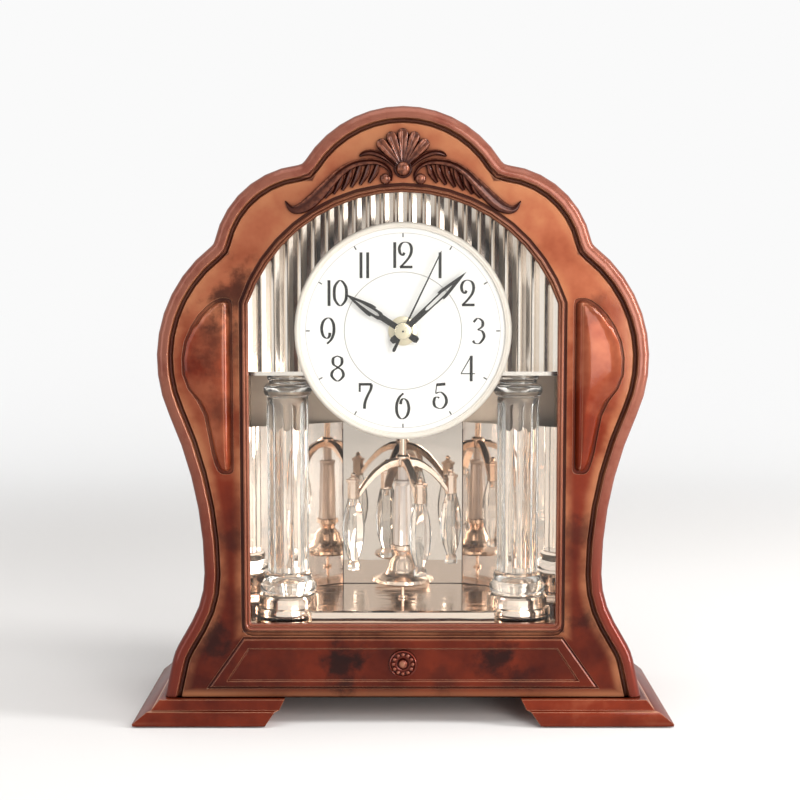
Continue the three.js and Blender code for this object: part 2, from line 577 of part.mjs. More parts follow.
// A raised rib that stands on the field and follows points of [x, z, width, height].
function rib(control, stations, section = ROUND) {
  const line = new THREE.SplineCurve(control.map(([x, z]) => new THREE.Vector2(x, z)));
  const size = new THREE.SplineCurve(control.map(([, , width, height]) => new THREE.Vector2(width, height)));
  const rings = [];
  for (let i = 0; i <= stations; i++) {
    const point = line.getPoint(i / stations);
    const along = line.getTangent(i / stations);
    const { x: width, y: height } = size.getPoint(i / stations);
    const outline = section.map(([across, rise]) => [(across * width) / 2, SEAT_Y - ORNAMENT_EDGE - height * rise]);
    outline.push([width / 2, SEAT_Y], [-width / 2, SEAT_Y]);
    rings.push(outline.map(([across, y]) => [point.x - along.y * across, y, point.y + along.x * across]));
  }
  return loft(rings);
}

// A round boss that stands on the field; its profile is [radius, rise].
function boss(x, z, profile) {
  const solid = tidy(turned(profile.map(([r, rise]) => [r * ORNAMENT_SCALE, SEAT_Y - rise * ORNAMENT_SCALE]), 14)
    .rotateX(-Math.PI / 2));
  return solid.translate(x, 0, z);
}

function crestShell() {
  const petals = PETAL_ANGLES.flatMap((angle, i) => {
    const [aside, up] = [Math.sin(radians(angle)), Math.cos(radians(angle))].map((share) => share * PETAL_SCALES[i]);
    const petal = rib(PETAL.map(([out, width, height]) => fromCrest([aside * out, up * out, width, height])), 8);
    return angle ? [petal, mirrored(petal)] : [petal];
  });
  const leaf = rib(CREST_LEAF.map(fromCrest), 8);
  return join(boss(0, CREST_Z, CREST_BALL), ...petals, leaf, mirrored(leaf));
}

// Rimmed arm with a curled tail, the ball that it winds round, and fronds that slant down to the window frame.
function acanthus() {
  const arm = rib(ARM_LINE.map(fromCrest), 18, RIMMED);
  const line = new THREE.SplineCurve(ARM_LINE.map(fromCrest).map(([x, z]) => new THREE.Vector2(x, z)));
  const samples = line.getPoints(80).filter((point) => point.x > fromCrest([10, 0])[0]);
  const volute = boss(...fromCrest([VOLUTE.x, VOLUTE.z]), VOLUTE.profile);
  const reachRadius = WINDOW_ARCH_RADIUS + FRAME_GROOVE_END + GAP;
  const fronds = FROND_STARTS.map((start) => {
    const { reach, root, middle, tip } = FROND;
    const [startX, endX] = [start, start + reach].map((x) => x * ORNAMENT_SCALE);
    const startZ = samples.reduce((best, point) =>
      (Math.abs(point.x - startX) < Math.abs(best.x - startX) ? point : best)).y;
    const endZ = WINDOW_ARCH_Z + Math.sqrt(reachRadius ** 2 - endX ** 2) + 0.3 * reach * ORNAMENT_SCALE;
    const sized = (x, z, [width, height]) => [x, z, width * ORNAMENT_SCALE, height * ORNAMENT_SCALE];
    return rib([sized(startX, startZ, root), sized(startX + 0.3 * (endX - startX), (startZ + endZ) / 2, middle),
      sized(endX, endZ, tip)], 4, ROUND);
  });
  return join(arm, volute, ...fronds);
}

// Domed panel whose ridge runs near the straight edge.
function sidePanel() {
  const backY = FIELD_Y + SIDE_PANEL_SEAT - GAP;
  const rings = SIDE_PANEL_EDGE.map(([z, outer]) => {
    const inner = sidePanelInner(z);
    const width = outer - inner;
    const rise = SIDE_PANEL_RISE * Math.min(1, width / 7);
    const ridge = inner + Math.min(3, width * 0.4);
    const across = (share) => ridge + (outer - ridge) * share;
    return [[inner, backY], [inner, FIELD_Y + 0.4], [ridge - 0.3 * (ridge - inner), FIELD_Y - 0.8 * rise],
      [ridge, FIELD_Y - rise], [across(0.25), FIELD_Y - 0.93 * rise], [across(0.6), FIELD_Y - 0.72 * rise],
      [across(0.88), FIELD_Y - 0.35 * rise], [outer, FIELD_Y + 0.3], [outer, backY]].map(([x, y]) => [x, y, z]);
  });
  return loft(rings);
}

// The inner edge is straight, with a round corner at each end.
function sidePanelInner(z) {
  const fromEnd = Math.min(z - SIDE_PANEL_EDGE[0][0], SIDE_PANEL_EDGE.at(-1)[0] - z, SIDE_PANEL_CORNER);
  const drop = SIDE_PANEL_CORNER - fromEnd;
  return SIDE_PANEL_INNER + SIDE_PANEL_CORNER - Math.sqrt(SIDE_PANEL_CORNER ** 2 - drop ** 2);
}

function sidePanelSeat() {
  const [bottom, top] = [SIDE_PANEL_EDGE[0][0], SIDE_PANEL_EDGE.at(-1)[0]];
  const middle = (bottom + top) / 2;
  const stretch = (top - middle + SIDE_PANEL_MARGIN) / (top - middle);
  const level = (z) => middle + (z - middle) * stretch;
  const outer = SIDE_PANEL_EDGE.map(([z, x]) => [x + SIDE_PANEL_MARGIN, level(z)]);
  const inner = SIDE_PANEL_EDGE.map(([z]) => [sidePanelInner(z) - SIDE_PANEL_MARGIN, level(z)]);
  return prism([...outer, ...inner.reverse()], FIELD_Y - 1, FIELD_Y + SIDE_PANEL_SEAT);
}

// Back of the case

function backCover() {
  const outline = caseOutline(REAR_DRAFT + WALL + GAP, CASE_BOTTOM + WALL + GAP);
  const plate = prism(outline, COVER_FRONT_Y, COVER_REAR_Y);
  const { wall, halfWidth, halfHeight } = WELL;
  const half = halfWidth - wall;
  const lug = box(half, half + HINGE.lug, COVER_FRONT_Y, HINGE.y + 2.6, HINGE.z - 3.5, HINGE.z + 4);
  const opening = box(-half, half, COVER_FRONT_Y - 1, COVER_REAR_Y + 3, DIAL_Z - halfHeight + wall, DIAL_Z + halfHeight - wall);
  const pinHole = rodAlongX(-half - HINGE.reach - 0.6, half + HINGE.reach + 0.6, HINGE.y, HINGE.z, HINGE.pin + GAP);
  const screwHoles = [1, -1].flatMap((side) => BOSSES.map(([x, z]) =>
    rodAlongY(side * x, z, SCREW_RADIUS + GAP, COVER_FRONT_Y - 1, COVER_REAR_Y + 1)));
  return cut(join(plate, lug, mirrored(lug)), opening, pinHole, ...screwHoles);
}

// Door with a knuckle along its lower edge and a pin at each end.
function accessDoor() {
  const half = WELL.halfWidth - WELL.wall - GAP;
  const topZ = DIAL_Z + WELL.halfHeight - WELL.wall - GAP;
  const plate = box(-half, half, COVER_REAR_Y - DOOR_THICKNESS, COVER_REAR_Y, HINGE.z, topZ);
  const knuckle = rodAlongX(-half, half, HINGE.y, HINGE.z, HINGE.knuckle, 16);
  const pins = rodAlongX(-half - HINGE.reach, half + HINGE.reach, HINGE.y, HINGE.z, HINGE.pin);
  return join(plate, knuckle, pins);
}

function coverScrew(side, [x, z]) {
  const headFront = COVER_REAR_Y + GAP;
  const { r, height } = SCREW_HEAD;
  const profile = [[SCREW_RADIUS, headFront - SCREW_LENGTH], [SCREW_RADIUS, headFront], [r, headFront],
    [r, headFront + height * 0.6], [r * 0.6, headFront + height]];
  const screw = tidy(turned(profile, 12).rotateX(-Math.PI / 2)).translate(side * x, 0, z);
  const slots = [[2, 0.35], [0.35, 2]].map(([w, h]) =>
    box(side * x - w, side * x + w, headFront + height * 0.4, headFront + height + 1, z - h, z + h));
  return cut(screw, ...slots);
}

// Inside the window

// Fluted wall, hood, soffit, lintel and side walls in one moulding, with a hole for the well.
function reflectorArch() {
  const frontY = LENS_BACK_Y + GAP;
  const rearY = LINTEL_Y + LINER_WALL;
  const standZ = TRAY.top + GAP;
  const wallRearY = FLUTED_Y + FLUTED_THICKNESS;
  const outer = windowOutline(LINER_OFFSET + LINER_WALL);
  const hood = frameBetween(outer, windowOutline(LINER_OFFSET), frontY, wallRearY);
  const wall = cut(prism(outer, FLUTED_Y, wallRearY), box(-120, 120, -50, 50, 0, SOFFIT_Z + 1), ...fluteTools());
  const width = LINER_HALF_WIDTH + LINER_WALL / 2;
  const soffit = box(-width, width, SOFFIT_FRONT_Y, rearY, SOFFIT_Z, SOFFIT_Z + LINER_WALL);
  const lintel = box(-width, width, LINTEL_Y, rearY, LINTEL_BOTTOM, SOFFIT_Z + LINER_WALL);
  const side = box(LINER_HALF_WIDTH, LINER_HALF_WIDTH + LINER_WALL, wallRearY - 1, rearY, standZ, SOFFIT_Z + LINER_WALL);
  const whole = join(hood, wall, soffit, lintel, side, mirrored(side));
  const wellHole = prism(wellOutline(GAP), frontY - 1, rearY + 1);
  return cut(whole, wellHole, box(-120, 120, -60, 60, 0, standZ));
}

// Upright round tools with round heads that follow an arc just below the hood.
function fluteTools() {
  const axisY = FLUTED_Y - FLUTE_RADIUS + FLUTE_DEPTH;
  const eachSide = Math.floor((WINDOW_ARCH_RADIUS - FLUTE_DEPTH) / FLUTE_PITCH);
  const reach = WINDOW_ARCH_RADIUS + LINER_OFFSET - GAP;
  return Array.from({ length: 2 * eachSide + 1 }, (_, i) => {
    const x = (i - eachSide) * FLUTE_PITCH;
    const headZ = WINDOW_ARCH_Z + Math.sqrt(reach ** 2 - x ** 2) - FLUTE_RADIUS;
    const head = [0, 30, 60].map((turn) => polar(0, headZ, FLUTE_RADIUS, turn));
    const profile = [[FLUTE_RADIUS, SOFFIT_Z - 5], ...head, [0, headZ + FLUTE_RADIUS]];
    return moved(turned(profile, 12), x, axisY, 0);
  });
}

function wellOutline(offset) {
  const { halfWidth, halfHeight, corner } = WELL;
  const r = corner + offset;
  const [w, h] = [halfWidth + offset - r, halfHeight + offset - r];
  return [[w, h, 90], [w, -h, 0], [-w, -h, -90], [-w, h, -180]]
    .flatMap(([x, z, from]) => arc(x, DIAL_Z + z, r, from, from - 90, 4));
}

function movementWell() {
  const { wall, frontY } = WELL;
  const outer = prism(wellOutline(0), frontY, COVER_FRONT_Y - GAP);
  const inner = prism(wellOutline(-wall), frontY + wall, COVER_FRONT_Y);
  const postHole = rodAlongY(0, DIAL_Z, POST.outer + GAP, frontY - 1, frontY + wall + 1, 20);
  const floorZ = DIAL_Z - WELL.halfHeight;
  const bushHole = moved(turned([[BUSH.body + GAP, floorZ - 2], [BUSH.body + GAP, floorZ + wall + 1]], 20), 0, PENDULUM_Y, 0);
  return cut(outer, inner, postHole, bushHole);
}

function floorTray() {
  const stepOutline = (inset) => {
    const [front, side] = [STEP.frontY + inset, STEP.sideY + inset];
    const half = STEP.frontHalf - inset * 0.4;
    const edge = LINER_HALF_WIDTH - GAP;
    const right = [[half, front], [half + side - front, side], [edge, side], [edge, STEP.rearY]];
    return [...right, ...right.map(([x, y]) => [-x, y]).reverse()];
  };
  const level = (inset, z) => stepOutline(inset).map(([x, y]) => [x, y, z]);
  const step = loft([level(0, TRAY.bottom + 1), level(0, STEP.top - 2), level(0.6, STEP.top - 0.7), level(2, STEP.top)]);
  const plate = box(-TRAY.halfWidth, TRAY.halfWidth, LENS_BACK_Y + GAP, TRAY.rearY, TRAY.bottom, TRAY.top);
  const plinths = [-1, 1].map((side) => moved(turned(PLINTH, 28), side * COLUMN.x, COLUMN.y, 0));
  return join(plate, step, ...plinths);
}

function column() {
  const hollow = [0, 0.75, 1, 0.75];
  const points = COLUMN.flutes * hollow.length;
  const level = (z, depth) => Array.from({ length: points }, (_, i) => {
    const turn = (2 * Math.PI * i) / points;
    const radius = COLUMN.r - depth * hollow[i % hollow.length];
    return [radius * Math.cos(turn), radius * Math.sin(turn), z];
  });
  const { bottom, headZ, top, depth } = COLUMN;
  return loft([level(bottom, depth), level(headZ, depth), level(headZ + 4, 0), level(top, 0)]);
}

function wing() {
  const length = 55.8;
  const start = CENTRE_MIRROR_HALF + 0.8;
  const plate = box(0, length, -MIRROR_THICKNESS / 2, MIRROR_THICKNESS / 2, STEP.top + GAP, MIRROR_TOP);
  return tidy(plate.rotateZ(-radians(WING_ANGLE))).translate(start, MIRROR_Y + MIRROR_THICKNESS / 2, 0);
}

// Dial, movement and hands

function dialPlate() {
  return cut(
    rodAlongY(0, DIAL_Z, DIAL_RADIUS, DIAL_FRONT_Y, DIAL_FRONT_Y + DIAL_THICKNESS, 64),
    rodAlongY(0, DIAL_Z, POST.outer + GAP, DIAL_FRONT_Y - 1, DIAL_FRONT_Y + DIAL_THICKNESS + 1, 20));
}

// Rounded ring with a rebate behind for the dial's edge.
function dialBezel() {
  const lip = DIAL_FRONT_Y - GAP;
  const rebate = DIAL_RADIUS + GAP;
  const middle = (BEZEL_INNER + BEZEL_OUTER) / 2;
  const rearY = DIAL_FRONT_Y + DIAL_THICKNESS + 0.3;
  const section = [[BEZEL_INNER, lip], [BEZEL_INNER + 0.3, BEZEL_FRONT_Y + 0.5],
    [middle, BEZEL_FRONT_Y], [BEZEL_OUTER - 0.6, BEZEL_FRONT_Y + 0.5], [BEZEL_OUTER, BEZEL_FRONT_Y + 1.3],
    [BEZEL_OUTER, rearY], [rebate, rearY], [rebate, lip], [BEZEL_INNER, lip]];
  const points = section.map(([r, y]) => new THREE.Vector2(r, y));
  return tidy(new THREE.LatheGeometry(points, 40)).translate(0, 0, DIAL_Z);
}

function movementCase() {
  const { half, thickness, frontY } = MOVEMENT;
  const { r, half: reach, z, y } = BATTERY;
  const rearY = frontY + thickness;
  const troughR = r + GAP;
  const body = box(-half, half, frontY, rearY, DIAL_Z - half, DIAL_Z + half);
  const post = rodAlongY(0, DIAL_Z, POST.outer, POST.frontY, frontY + 1, 20);
  const bore = rodAlongY(0, DIAL_Z, POST.bore, POST.frontY - 1, ARBOR_REAR_Y + GAP, 20);
  const trough = rodAlongX(-reach - GAP, reach + GAP, y, z, troughR, 20);
  const mouth = box(-reach - GAP, reach + GAP, y, rearY + 1, z - troughR, z + troughR);
  const knobBore = rodAlongY(0, DIAL_Z, KNOB.stub + GAP, rearY - KNOB.stubLength - GAP, rearY + 1);
  return cut(join(body, post), bore, trough, mouth, knobBore);
}

function battery() {
  const { r, half, y, z, button } = BATTERY;
  return join(rodAlongX(-half, half - 1, y, z, r, 20), rodAlongX(0, half, y, z, button, 12));
}

function settingKnob() {
  const frontY = MOVEMENT.frontY + MOVEMENT.thickness + GAP;
  const disc = rodAlongY(0, DIAL_Z, KNOB.r, frontY, frontY + KNOB.thickness, 18);
  return join(disc, rodAlongY(0, DIAL_Z, KNOB.stub, frontY - KNOB.stubLength, frontY + 1));
}

function dialWasher() {
  const rearY = DIAL_FRONT_Y - GAP;
  const { r, thickness } = WASHER;
  return turnedOnDial([[r, rearY], [r, rearY - thickness + 0.2], [r - 0.3, rearY - thickness]], 28, POST.outer + GAP);
}

function postNut() {
  const rearY = DIAL_FRONT_Y - WASHER.thickness - 2 * GAP;
  const blank = turnedOnDial([[NUT.r, rearY - NUT.thickness], [NUT.r, rearY]], 6);
  return cut(blank, rodAlongY(0, DIAL_Z, POST.outer + GAP, rearY - NUT.thickness - 1, rearY + 1, 16));
}

// A spade hand that points up, with a slot along its blade and a stepped waist.
function spadeOutline({ length, tail, wide, at }) {
  return bothSides([[0, length], [0.5, length - 2.6], [wide * 0.75, at + 5], [wide, at + 0.8], [wide, at - 1.6],
    [wide - 0.8, at - 1.6], [wide - 0.8, at - 5.4], [1.5, at - 6.6], [1.5, 3], [1.4, -3], [1.8, 1.4 - tail],
    [1.2, -tail]]);
}

function slotOutline({ at, slot }) {
  return bothSides([[0, slot[1]], [0.5, slot[1] - 3.6], [0.85, at], [0.75, slot[0] + 1.4], [0.25, slot[0]]]);
}

function turnToTime(geometry, angle) {
  return tidy(geometry.rotateY(radians(angle))).translate(0, 0, DIAL_Z);
}

function spadeHand(hand, pipe) {
  const rearY = hand.frontY + HAND_THICKNESS;
  const blade = prism(spadeOutline(hand), hand.frontY, rearY);
  const slot = prism(slotOutline(hand), hand.frontY - 1, rearY + 1);
  const hub = turned([[hand.hub, hand.frontY], [hand.hub, rearY]], 16).rotateX(-Math.PI / 2);
  const tube = turned([[pipe.outer, hand.frontY + 0.1], [pipe.outer, ARBOR_REAR_Y]], 12).rotateX(-Math.PI / 2);
  const bore = turned([[pipe.bore, hand.frontY - 1], [pipe.bore, ARBOR_REAR_Y + 1]], 12).rotateX(-Math.PI / 2);
  return turnToTime(cut(join(cut(blade, slot), tidy(hub), tidy(tube)), tidy(bore)), hand.angle);
}

function secondHand() {
  const { angle, length, tail, frontY, hub } = SECOND;
  const rearY = frontY + 0.4;
  const blade = prism(bothSides([[0, length], [0.3, length - 1], [0.5, 0], [0.85, 1 - tail], [0.5, -tail]]), frontY, rearY);
  const disc = turned([[hub, frontY], [hub, rearY]], 14).rotateX(-Math.PI / 2);
  const pin = turned([[SECOND_PIN, frontY + 0.1], [SECOND_PIN, ARBOR_REAR_Y]], 10).rotateX(-Math.PI / 2);
  return turnToTime(join(blade, tidy(disc), tidy(pin)), angle);
}

function handCap() {
  const rearY = SECOND.frontY - GAP;
  const frontY = rearY - CAP.thickness;
  return turnedOnDial([[CAP.r, rearY], [CAP.r, rearY - 0.4], [CAP.r - 0.5, frontY + 0.1], [CAP.r - 1.2, frontY]], 28);
}

// Pendulum

function pendantPlaces() {
  return [0, 1, 2, 3].map((i) => radians(90 * i + PENDANT_TURN));
}

// Hub with four arched arms that end in sockets for the pendants.
function pendulumCrown() {
  const hub = turned([[2.9, HUB.bottom], [HUB.r, HUB.bottom + 1.2], [HUB.r, HUB.top - 1], [2.9, HUB.top]], 14);
  const arms = pendantPlaces().flatMap((turn) => {
    const rings = Array.from({ length: 6 }, (_, i) => {
      const t = i / 5;
      const out = ARM.start + (ARM.end - ARM.start) * t;
      const z = ARM.topZ - ARM.drop * t ** 2;
      const half = (ARM.height / 2) * (1 - 0.2 * t);
      const w = ARM.width / 2;
      const edge = 0.25 * ARM.width;
      return [[out, -w, z - half], [out, w, z - half], [out, w, z + half - edge], [out, w - edge, z + half],
        [out, edge - w, z + half], [out, -w, z + half - edge]];
    });
    const arm = loft(rings).rotateZ(turn);
    const socket = turned([[SOCKET.r, SOCKET.bottom], [SOCKET.r, SOCKET.top - 1.6], [SOCKET.r + 0.8, SOCKET.top - 1.2],
      [SOCKET.r + 0.8, SOCKET.top]], 8);
    return [arm, socket.translate(PENDANT_CIRCLE, 0, 0).rotateZ(turn)];
  });
  const bores = pendantPlaces().map((turn) =>
    turned([[STEM_RADIUS + GAP, SOCKET.bottom - 1], [STEM_RADIUS + GAP, SOCKET.top + 1]], 6)
      .translate(PENDANT_CIRCLE, 0, 0).rotateZ(turn));
  const rodBore = turned([[ROD_RADIUS + GAP, HUB.bottom - 1], [ROD_RADIUS + GAP, HUB.top + 1]], 12);
  return moved(cut(join(hub, ...arms), rodBore, ...bores), 0, PENDULUM_Y, 0);
}

function onPendantCircle(geometry, turn) {
  return moved(geometry.translate(PENDANT_CIRCLE, 0, 0).rotateZ(turn), 0, PENDULUM_Y, 0);
}

function pendant(turn) {
  const top = PENDANT_PROFILE.at(-1)[1];
  const bore = turned([[STEM_RADIUS + GAP, top - 4], [STEM_RADIUS + GAP, top + 1]], 6);
  return onPendantCircle(cut(turned(PENDANT_PROFILE, 8), bore), turn);
}

// Finial with a stem that goes down through the socket into the pendant.
function pendantCap(turn) {
  const stemEnd = PENDANT_PROFILE.at(-1)[1] - 3.5;
  const seat = SOCKET.top + GAP;
  const profile = [[STEM_RADIUS, stemEnd], [STEM_RADIUS, seat], [2.4, seat], [2.4, seat + 0.7], [1, seat + 1.1],
    [1.5, seat + 1.9], [1.3, seat + 2.7], [0.5, seat + 3.3]];
  return onPendantCircle(turned(profile, 8), turn);
}

function pendulumRod() {
  const profile = [[ROD_RADIUS, SHAFT.sleeveTop - 7], [ROD_RADIUS, DRIVE.bottom + 3.6]];
  return moved(turned(profile, 16), 0, PENDULUM_Y, 0);
}

// Fluted shaft with a collar and a sleeve that takes the rod.
function pendulumColumn() {
  const points = SHAFT.flutes * 2;
  const level = (z, radius, depth) => Array.from({ length: points }, (_, i) => {
    const turn = (2 * Math.PI * i) / points;
    const r = radius - (i % 2) * depth;
    return [r * Math.cos(turn), r * Math.sin(turn), z];
  });
  const { r, bottom, top, depth, sleeve, sleeveTop } = SHAFT;
  const shaft = loft([level(bottom, r, depth), level(top - 3, r * 0.86, depth), level(top - 2, r * 0.86, 0),
    level(top - 1.4, r * 0.92, 0), level(top - 0.4, r * 0.92, 0), level(top, r * 0.7, 0), level(top + 0.2, sleeve, 0),
    level(sleeveTop, sleeve, 0)]);
  const bore = turned([[ROD_RADIUS + GAP, sleeveTop - 8], [ROD_RADIUS + GAP, sleeveTop + 1]], 16);
  return moved(cut(shaft, bore), 0, PENDULUM_Y, 0);
}

function pendulumBase() {
  const bottom = PENDULUM_BASE_PROFILE[0][1];
  const bore = turned([[GUIDE_PIN.r + 2 * GAP, bottom - 1], [GUIDE_PIN.r + 2 * GAP, GUIDE_PIN.top + 1]], 12);
  return moved(cut(turned(PENDULUM_BASE_PROFILE, 20), bore), 0, PENDULUM_Y, 0);
}

function guidePin() {
  const stand = STEP.top + GAP;
  const { r, top, flange } = GUIDE_PIN;
  return moved(turned([[flange, stand], [flange, stand + 0.8], [r, stand + 1], [r, top]], 16), 0, PENDULUM_Y, 0);
}

function pendulumDrive() {
  const { half, frontY, rearY, bottom, top } = DRIVE;
  const bore = moved(turned([[BUSH.bore, bottom - 1], [BUSH.bore, bottom + 4]], 16), 0, PENDULUM_Y, 0);
  return cut(box(-half, half, frontY, rearY, bottom, top), bore);
}

function pendulumBush() {
  const floorZ = DIAL_Z - WELL.halfHeight;
  const { body, flange, bore } = BUSH;
  const profile = [[flange, floorZ - GAP - 1], [flange, floorZ - GAP], [body, floorZ - GAP], [body, floorZ + WELL.wall]];
  return moved(turned(profile, 20, bore), 0, PENDULUM_Y, 0);
}

// Finishes and assembly

function finish(color, roughness, metalness = 0, opacity = 1) {
  return new THREE.MeshStandardMaterial({ color, roughness, metalness, opacity, transparent: opacity < 1 });
}

const FINISH = {
  casePlastic: finish("#8a4527", 0.35),
  rearPlastic: finish("#3a2018", 0.5),
  ornament: finish("#4a2419", 0.35),
  rubber: finish("#1c1b1a", 0.9),
  steel: finish("#b8b8b6", 0.35, 1),
  gold: finish("#d8a98a", 0.2, 1),
  brass: finish("#e0c080", 0.25, 1),
  reflector: finish("#d9cfc8", 0.25, 0.8),
  mirror: finish("#e8e4e0", 0.05, 1),
  clear: finish("#f4efe8", 0.05, 0, 0.4),
  dial: finish("#f6f3ec", 0.6),
  bezel: finish("#efe6da", 0.3),
  hands: finish("#16130f", 0.4, 0.3),
  mechanism: finish("#2a2c30", 0.5),
  battery: finish("#5d6b73", 0.4),
};

const clock = new THREE.Group();
clock.name = "desk_clock";

function node(name, geometry, material) {
  const mesh = new THREE.Mesh(geometry, material);
  mesh.name = name;
  clock.add(mesh);
}

function pair(name, rightGeometry, material) {
  node(name + "_right", rightGeometry, material);
  node(name + "_left", mirrored(rightGeometry), material);
}

function beside(geometry, x, y) {
  return moved(geometry, x, y, 0);
}

const panelSeat = sidePanelSeat();
node("front_case", cut(frontCase(), panelSeat, mirrored(panelSeat)), FINISH.casePlastic);
node("crest_shell", crestShell(), FINISH.ornament);
pair("acanthus", acanthus(), FINISH.ornament);
pair("side_panel", sidePanel(), FINISH.casePlastic);
node("rosette_ring", rosetteRing(), FINISH.casePlastic);
node("rosette_dome", rosetteDome(), FINISH.casePlastic);
node("window_lens", prism(windowOutline(LENS_OVERLAP), LENS_FRONT_Y, LENS_BACK_Y), FINISH.clear);
node("rear_case", rearCase(), FINISH.rearPlastic);
node("back_cover", backCover(), FINISH.rearPlastic);
node("access_door", accessDoor(), FINISH.rearPlastic);
BOSSES.forEach((boss, i) => {
  node("cover_screw_" + ["lower", "upper"][i] + "_right", coverScrew(1, boss), FINISH.steel);
  node("cover_screw_" + ["lower", "upper"][i] + "_left", coverScrew(-1, boss), FINISH.steel);
});
pair("foot", foot(), FINISH.casePlastic);
for (const [end, y] of [["front", -PAD.y], ["rear", PAD.y]]) {
  node("pad_" + end + "_right", footPad(1, y), FINISH.rubber);
  node("pad_" + end + "_left", footPad(-1, y), FINISH.rubber);
}
node("reflector_arch", reflectorArch(), FINISH.reflector);
node("floor_tray", floorTray(), FINISH.mirror);
pair("column", beside(column(), COLUMN.x, COLUMN.y), FINISH.clear);
pair("column_base", beside(turned(COLUMN_BASE_PROFILE, 18), COLUMN.x, COLUMN.y), FINISH.clear);
pair("column_capital", beside(turned(CAPITAL_PROFILE, 16), COLUMN.x, COLUMN.y), FINISH.clear);
node("mirror_centre", box(-CENTRE_MIRROR_HALF, CENTRE_MIRROR_HALF, MIRROR_Y, MIRROR_Y + MIRROR_THICKNESS,
  STEP.top + GAP, MIRROR_TOP), FINISH.mirror);
pair("mirror_wing", wing(), FINISH.mirror);
node("dial", dialPlate(), FINISH.dial);
node("dial_bezel", dialBezel(), FINISH.bezel);
node("movement_well", movementWell(), FINISH.mechanism);
node("movement_case", movementCase(), FINISH.mechanism);
node("battery", battery(), FINISH.battery);
node("dial_washer", dialWasher(), FINISH.brass);
node("post_nut", postNut(), FINISH.brass);
node("setting_knob", settingKnob(), FINISH.mechanism);
node("hour_hand", spadeHand(HOUR, HOUR_PIPE), FINISH.hands);
node("minute_hand", spadeHand(MINUTE, MINUTE_PIPE), FINISH.hands);
node("second_hand", secondHand(), FINISH.hands);
node("hand_cap", handCap(), FINISH.brass);
node("pendulum_drive", pendulumDrive(), FINISH.mechanism);
node("pendulum_bush", pendulumBush(), FINISH.mechanism);
node("guide_pin", guidePin(), FINISH.steel);
node("pendulum_rod", pendulumRod(), FINISH.steel);
node("pendulum_crown", pendulumCrown(), FINISH.gold);
node("pendulum_column", pendulumColumn(), FINISH.clear);
node("pendulum_base", pendulumBase(), FINISH.gold);
pendantPlaces().forEach((turn, i) => {
  node("pendant_" + (i + 1), pendant(turn), FINISH.clear);
  node("pendant_cap_" + (i + 1), pendantCap(turn), FINISH.gold);
});

export default clock;
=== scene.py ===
"""Looks of the desk clock: lacquer, metal film, crystal, dial print, carved ornament and studio."""

import math

import bpy
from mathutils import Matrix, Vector


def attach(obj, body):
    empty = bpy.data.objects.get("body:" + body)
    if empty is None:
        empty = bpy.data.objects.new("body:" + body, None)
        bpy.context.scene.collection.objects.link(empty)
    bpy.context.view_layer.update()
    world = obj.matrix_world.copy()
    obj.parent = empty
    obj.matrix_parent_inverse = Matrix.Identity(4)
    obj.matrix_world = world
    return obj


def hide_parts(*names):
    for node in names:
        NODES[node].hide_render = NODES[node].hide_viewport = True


bl_info = {
    "name": "Desk clock looks",
    "version": (1, 0, 0),
    "blender": (4, 5, 0),
    "location": "3D View > Sidebar > Clock",
    "description": "Finishes the desk clock's solids and sets its studio",
    "category": "Material",
}

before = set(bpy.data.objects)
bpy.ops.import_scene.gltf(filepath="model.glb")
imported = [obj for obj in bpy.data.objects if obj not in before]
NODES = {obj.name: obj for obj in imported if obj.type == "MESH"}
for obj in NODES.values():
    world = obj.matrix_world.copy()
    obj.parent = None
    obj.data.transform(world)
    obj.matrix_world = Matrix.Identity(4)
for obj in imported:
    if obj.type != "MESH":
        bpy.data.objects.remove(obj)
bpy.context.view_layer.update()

MM = 0.001

# The camera: place in millimetres, pitch down in degrees, focal length and sensor in millimetres
PHOTO_CAMERA = {"place": (-1.5, -791.0, 232.7), "pitch": 5.14, "lens": 67.5, "sensor": 36.0}

# Lengths from here down to the studio are in millimetres, as in the solids.
# The case outline on its right half: circles of the lobes as x, z and radius, the narrowest point
# of the waist, and the straight skirts as x, z and lean in degrees
LOBES = [(0.0, 253.5, 57.5), (46.7, 234.1, 48.3), (52.8, 185.8, 70.6)]
WAIST_X, WAIST_Z = 100.8, 77.0
LOWER_WAIST_RADIUS = 50.0
SKIRTS = [(107.5, 52.0, 30.0), (117.16, 32.0, 12.5)]
# Heights where the skirts, the lower waist, the waist and the lobes meet
OUTLINE_STEPS = (52.0, 77.0, 157.7)
WINDOW = {"half": 77.3, "arch_z": 187.0, "radius": 81.7, "bottom": 51.5}
# Takes the arch's place below the height where it starts
FAR_INSIDE = -500.0

# Mouldings of the front, as distances in from the outline and out from the window. A groove's
# dark line, partly the lacquer's own and partly painted shade, rises over its first pair of
# distances and falls over its second
BAND_EDGE, FRAME_EDGE = (5.8, 6.3), (2.6, 3.2)
BAND_GROOVE = ((5.9, 6.8), (7.9, 8.8))
FRAME_GROOVE = ((2.7, 3.2), (4.0, 4.6))
FIELD_FROM_OUTLINE, FIELD_FROM_WINDOW = 8.8, 4.5

# Heights over which the field darkens towards the bottom, the outer band grows lighter upwards
# (partly its own tone, partly painted sheen) and painted shade darkens the frame's arch; then the
# heights and sides of the painted highlight on the strip over the feet
TONE_FADE, BAND_TONE_AND_SHEEN_FADE, FRAME_ARCH_SHADE_FADE = (0.0, 300.0), (50.0, 170.0), (180.0, 225.0)
STRIP_HIGHLIGHT_FADE, STRIP_HIGHLIGHT_SIDES = (14.0, 19.0), (60.0, 105.0)

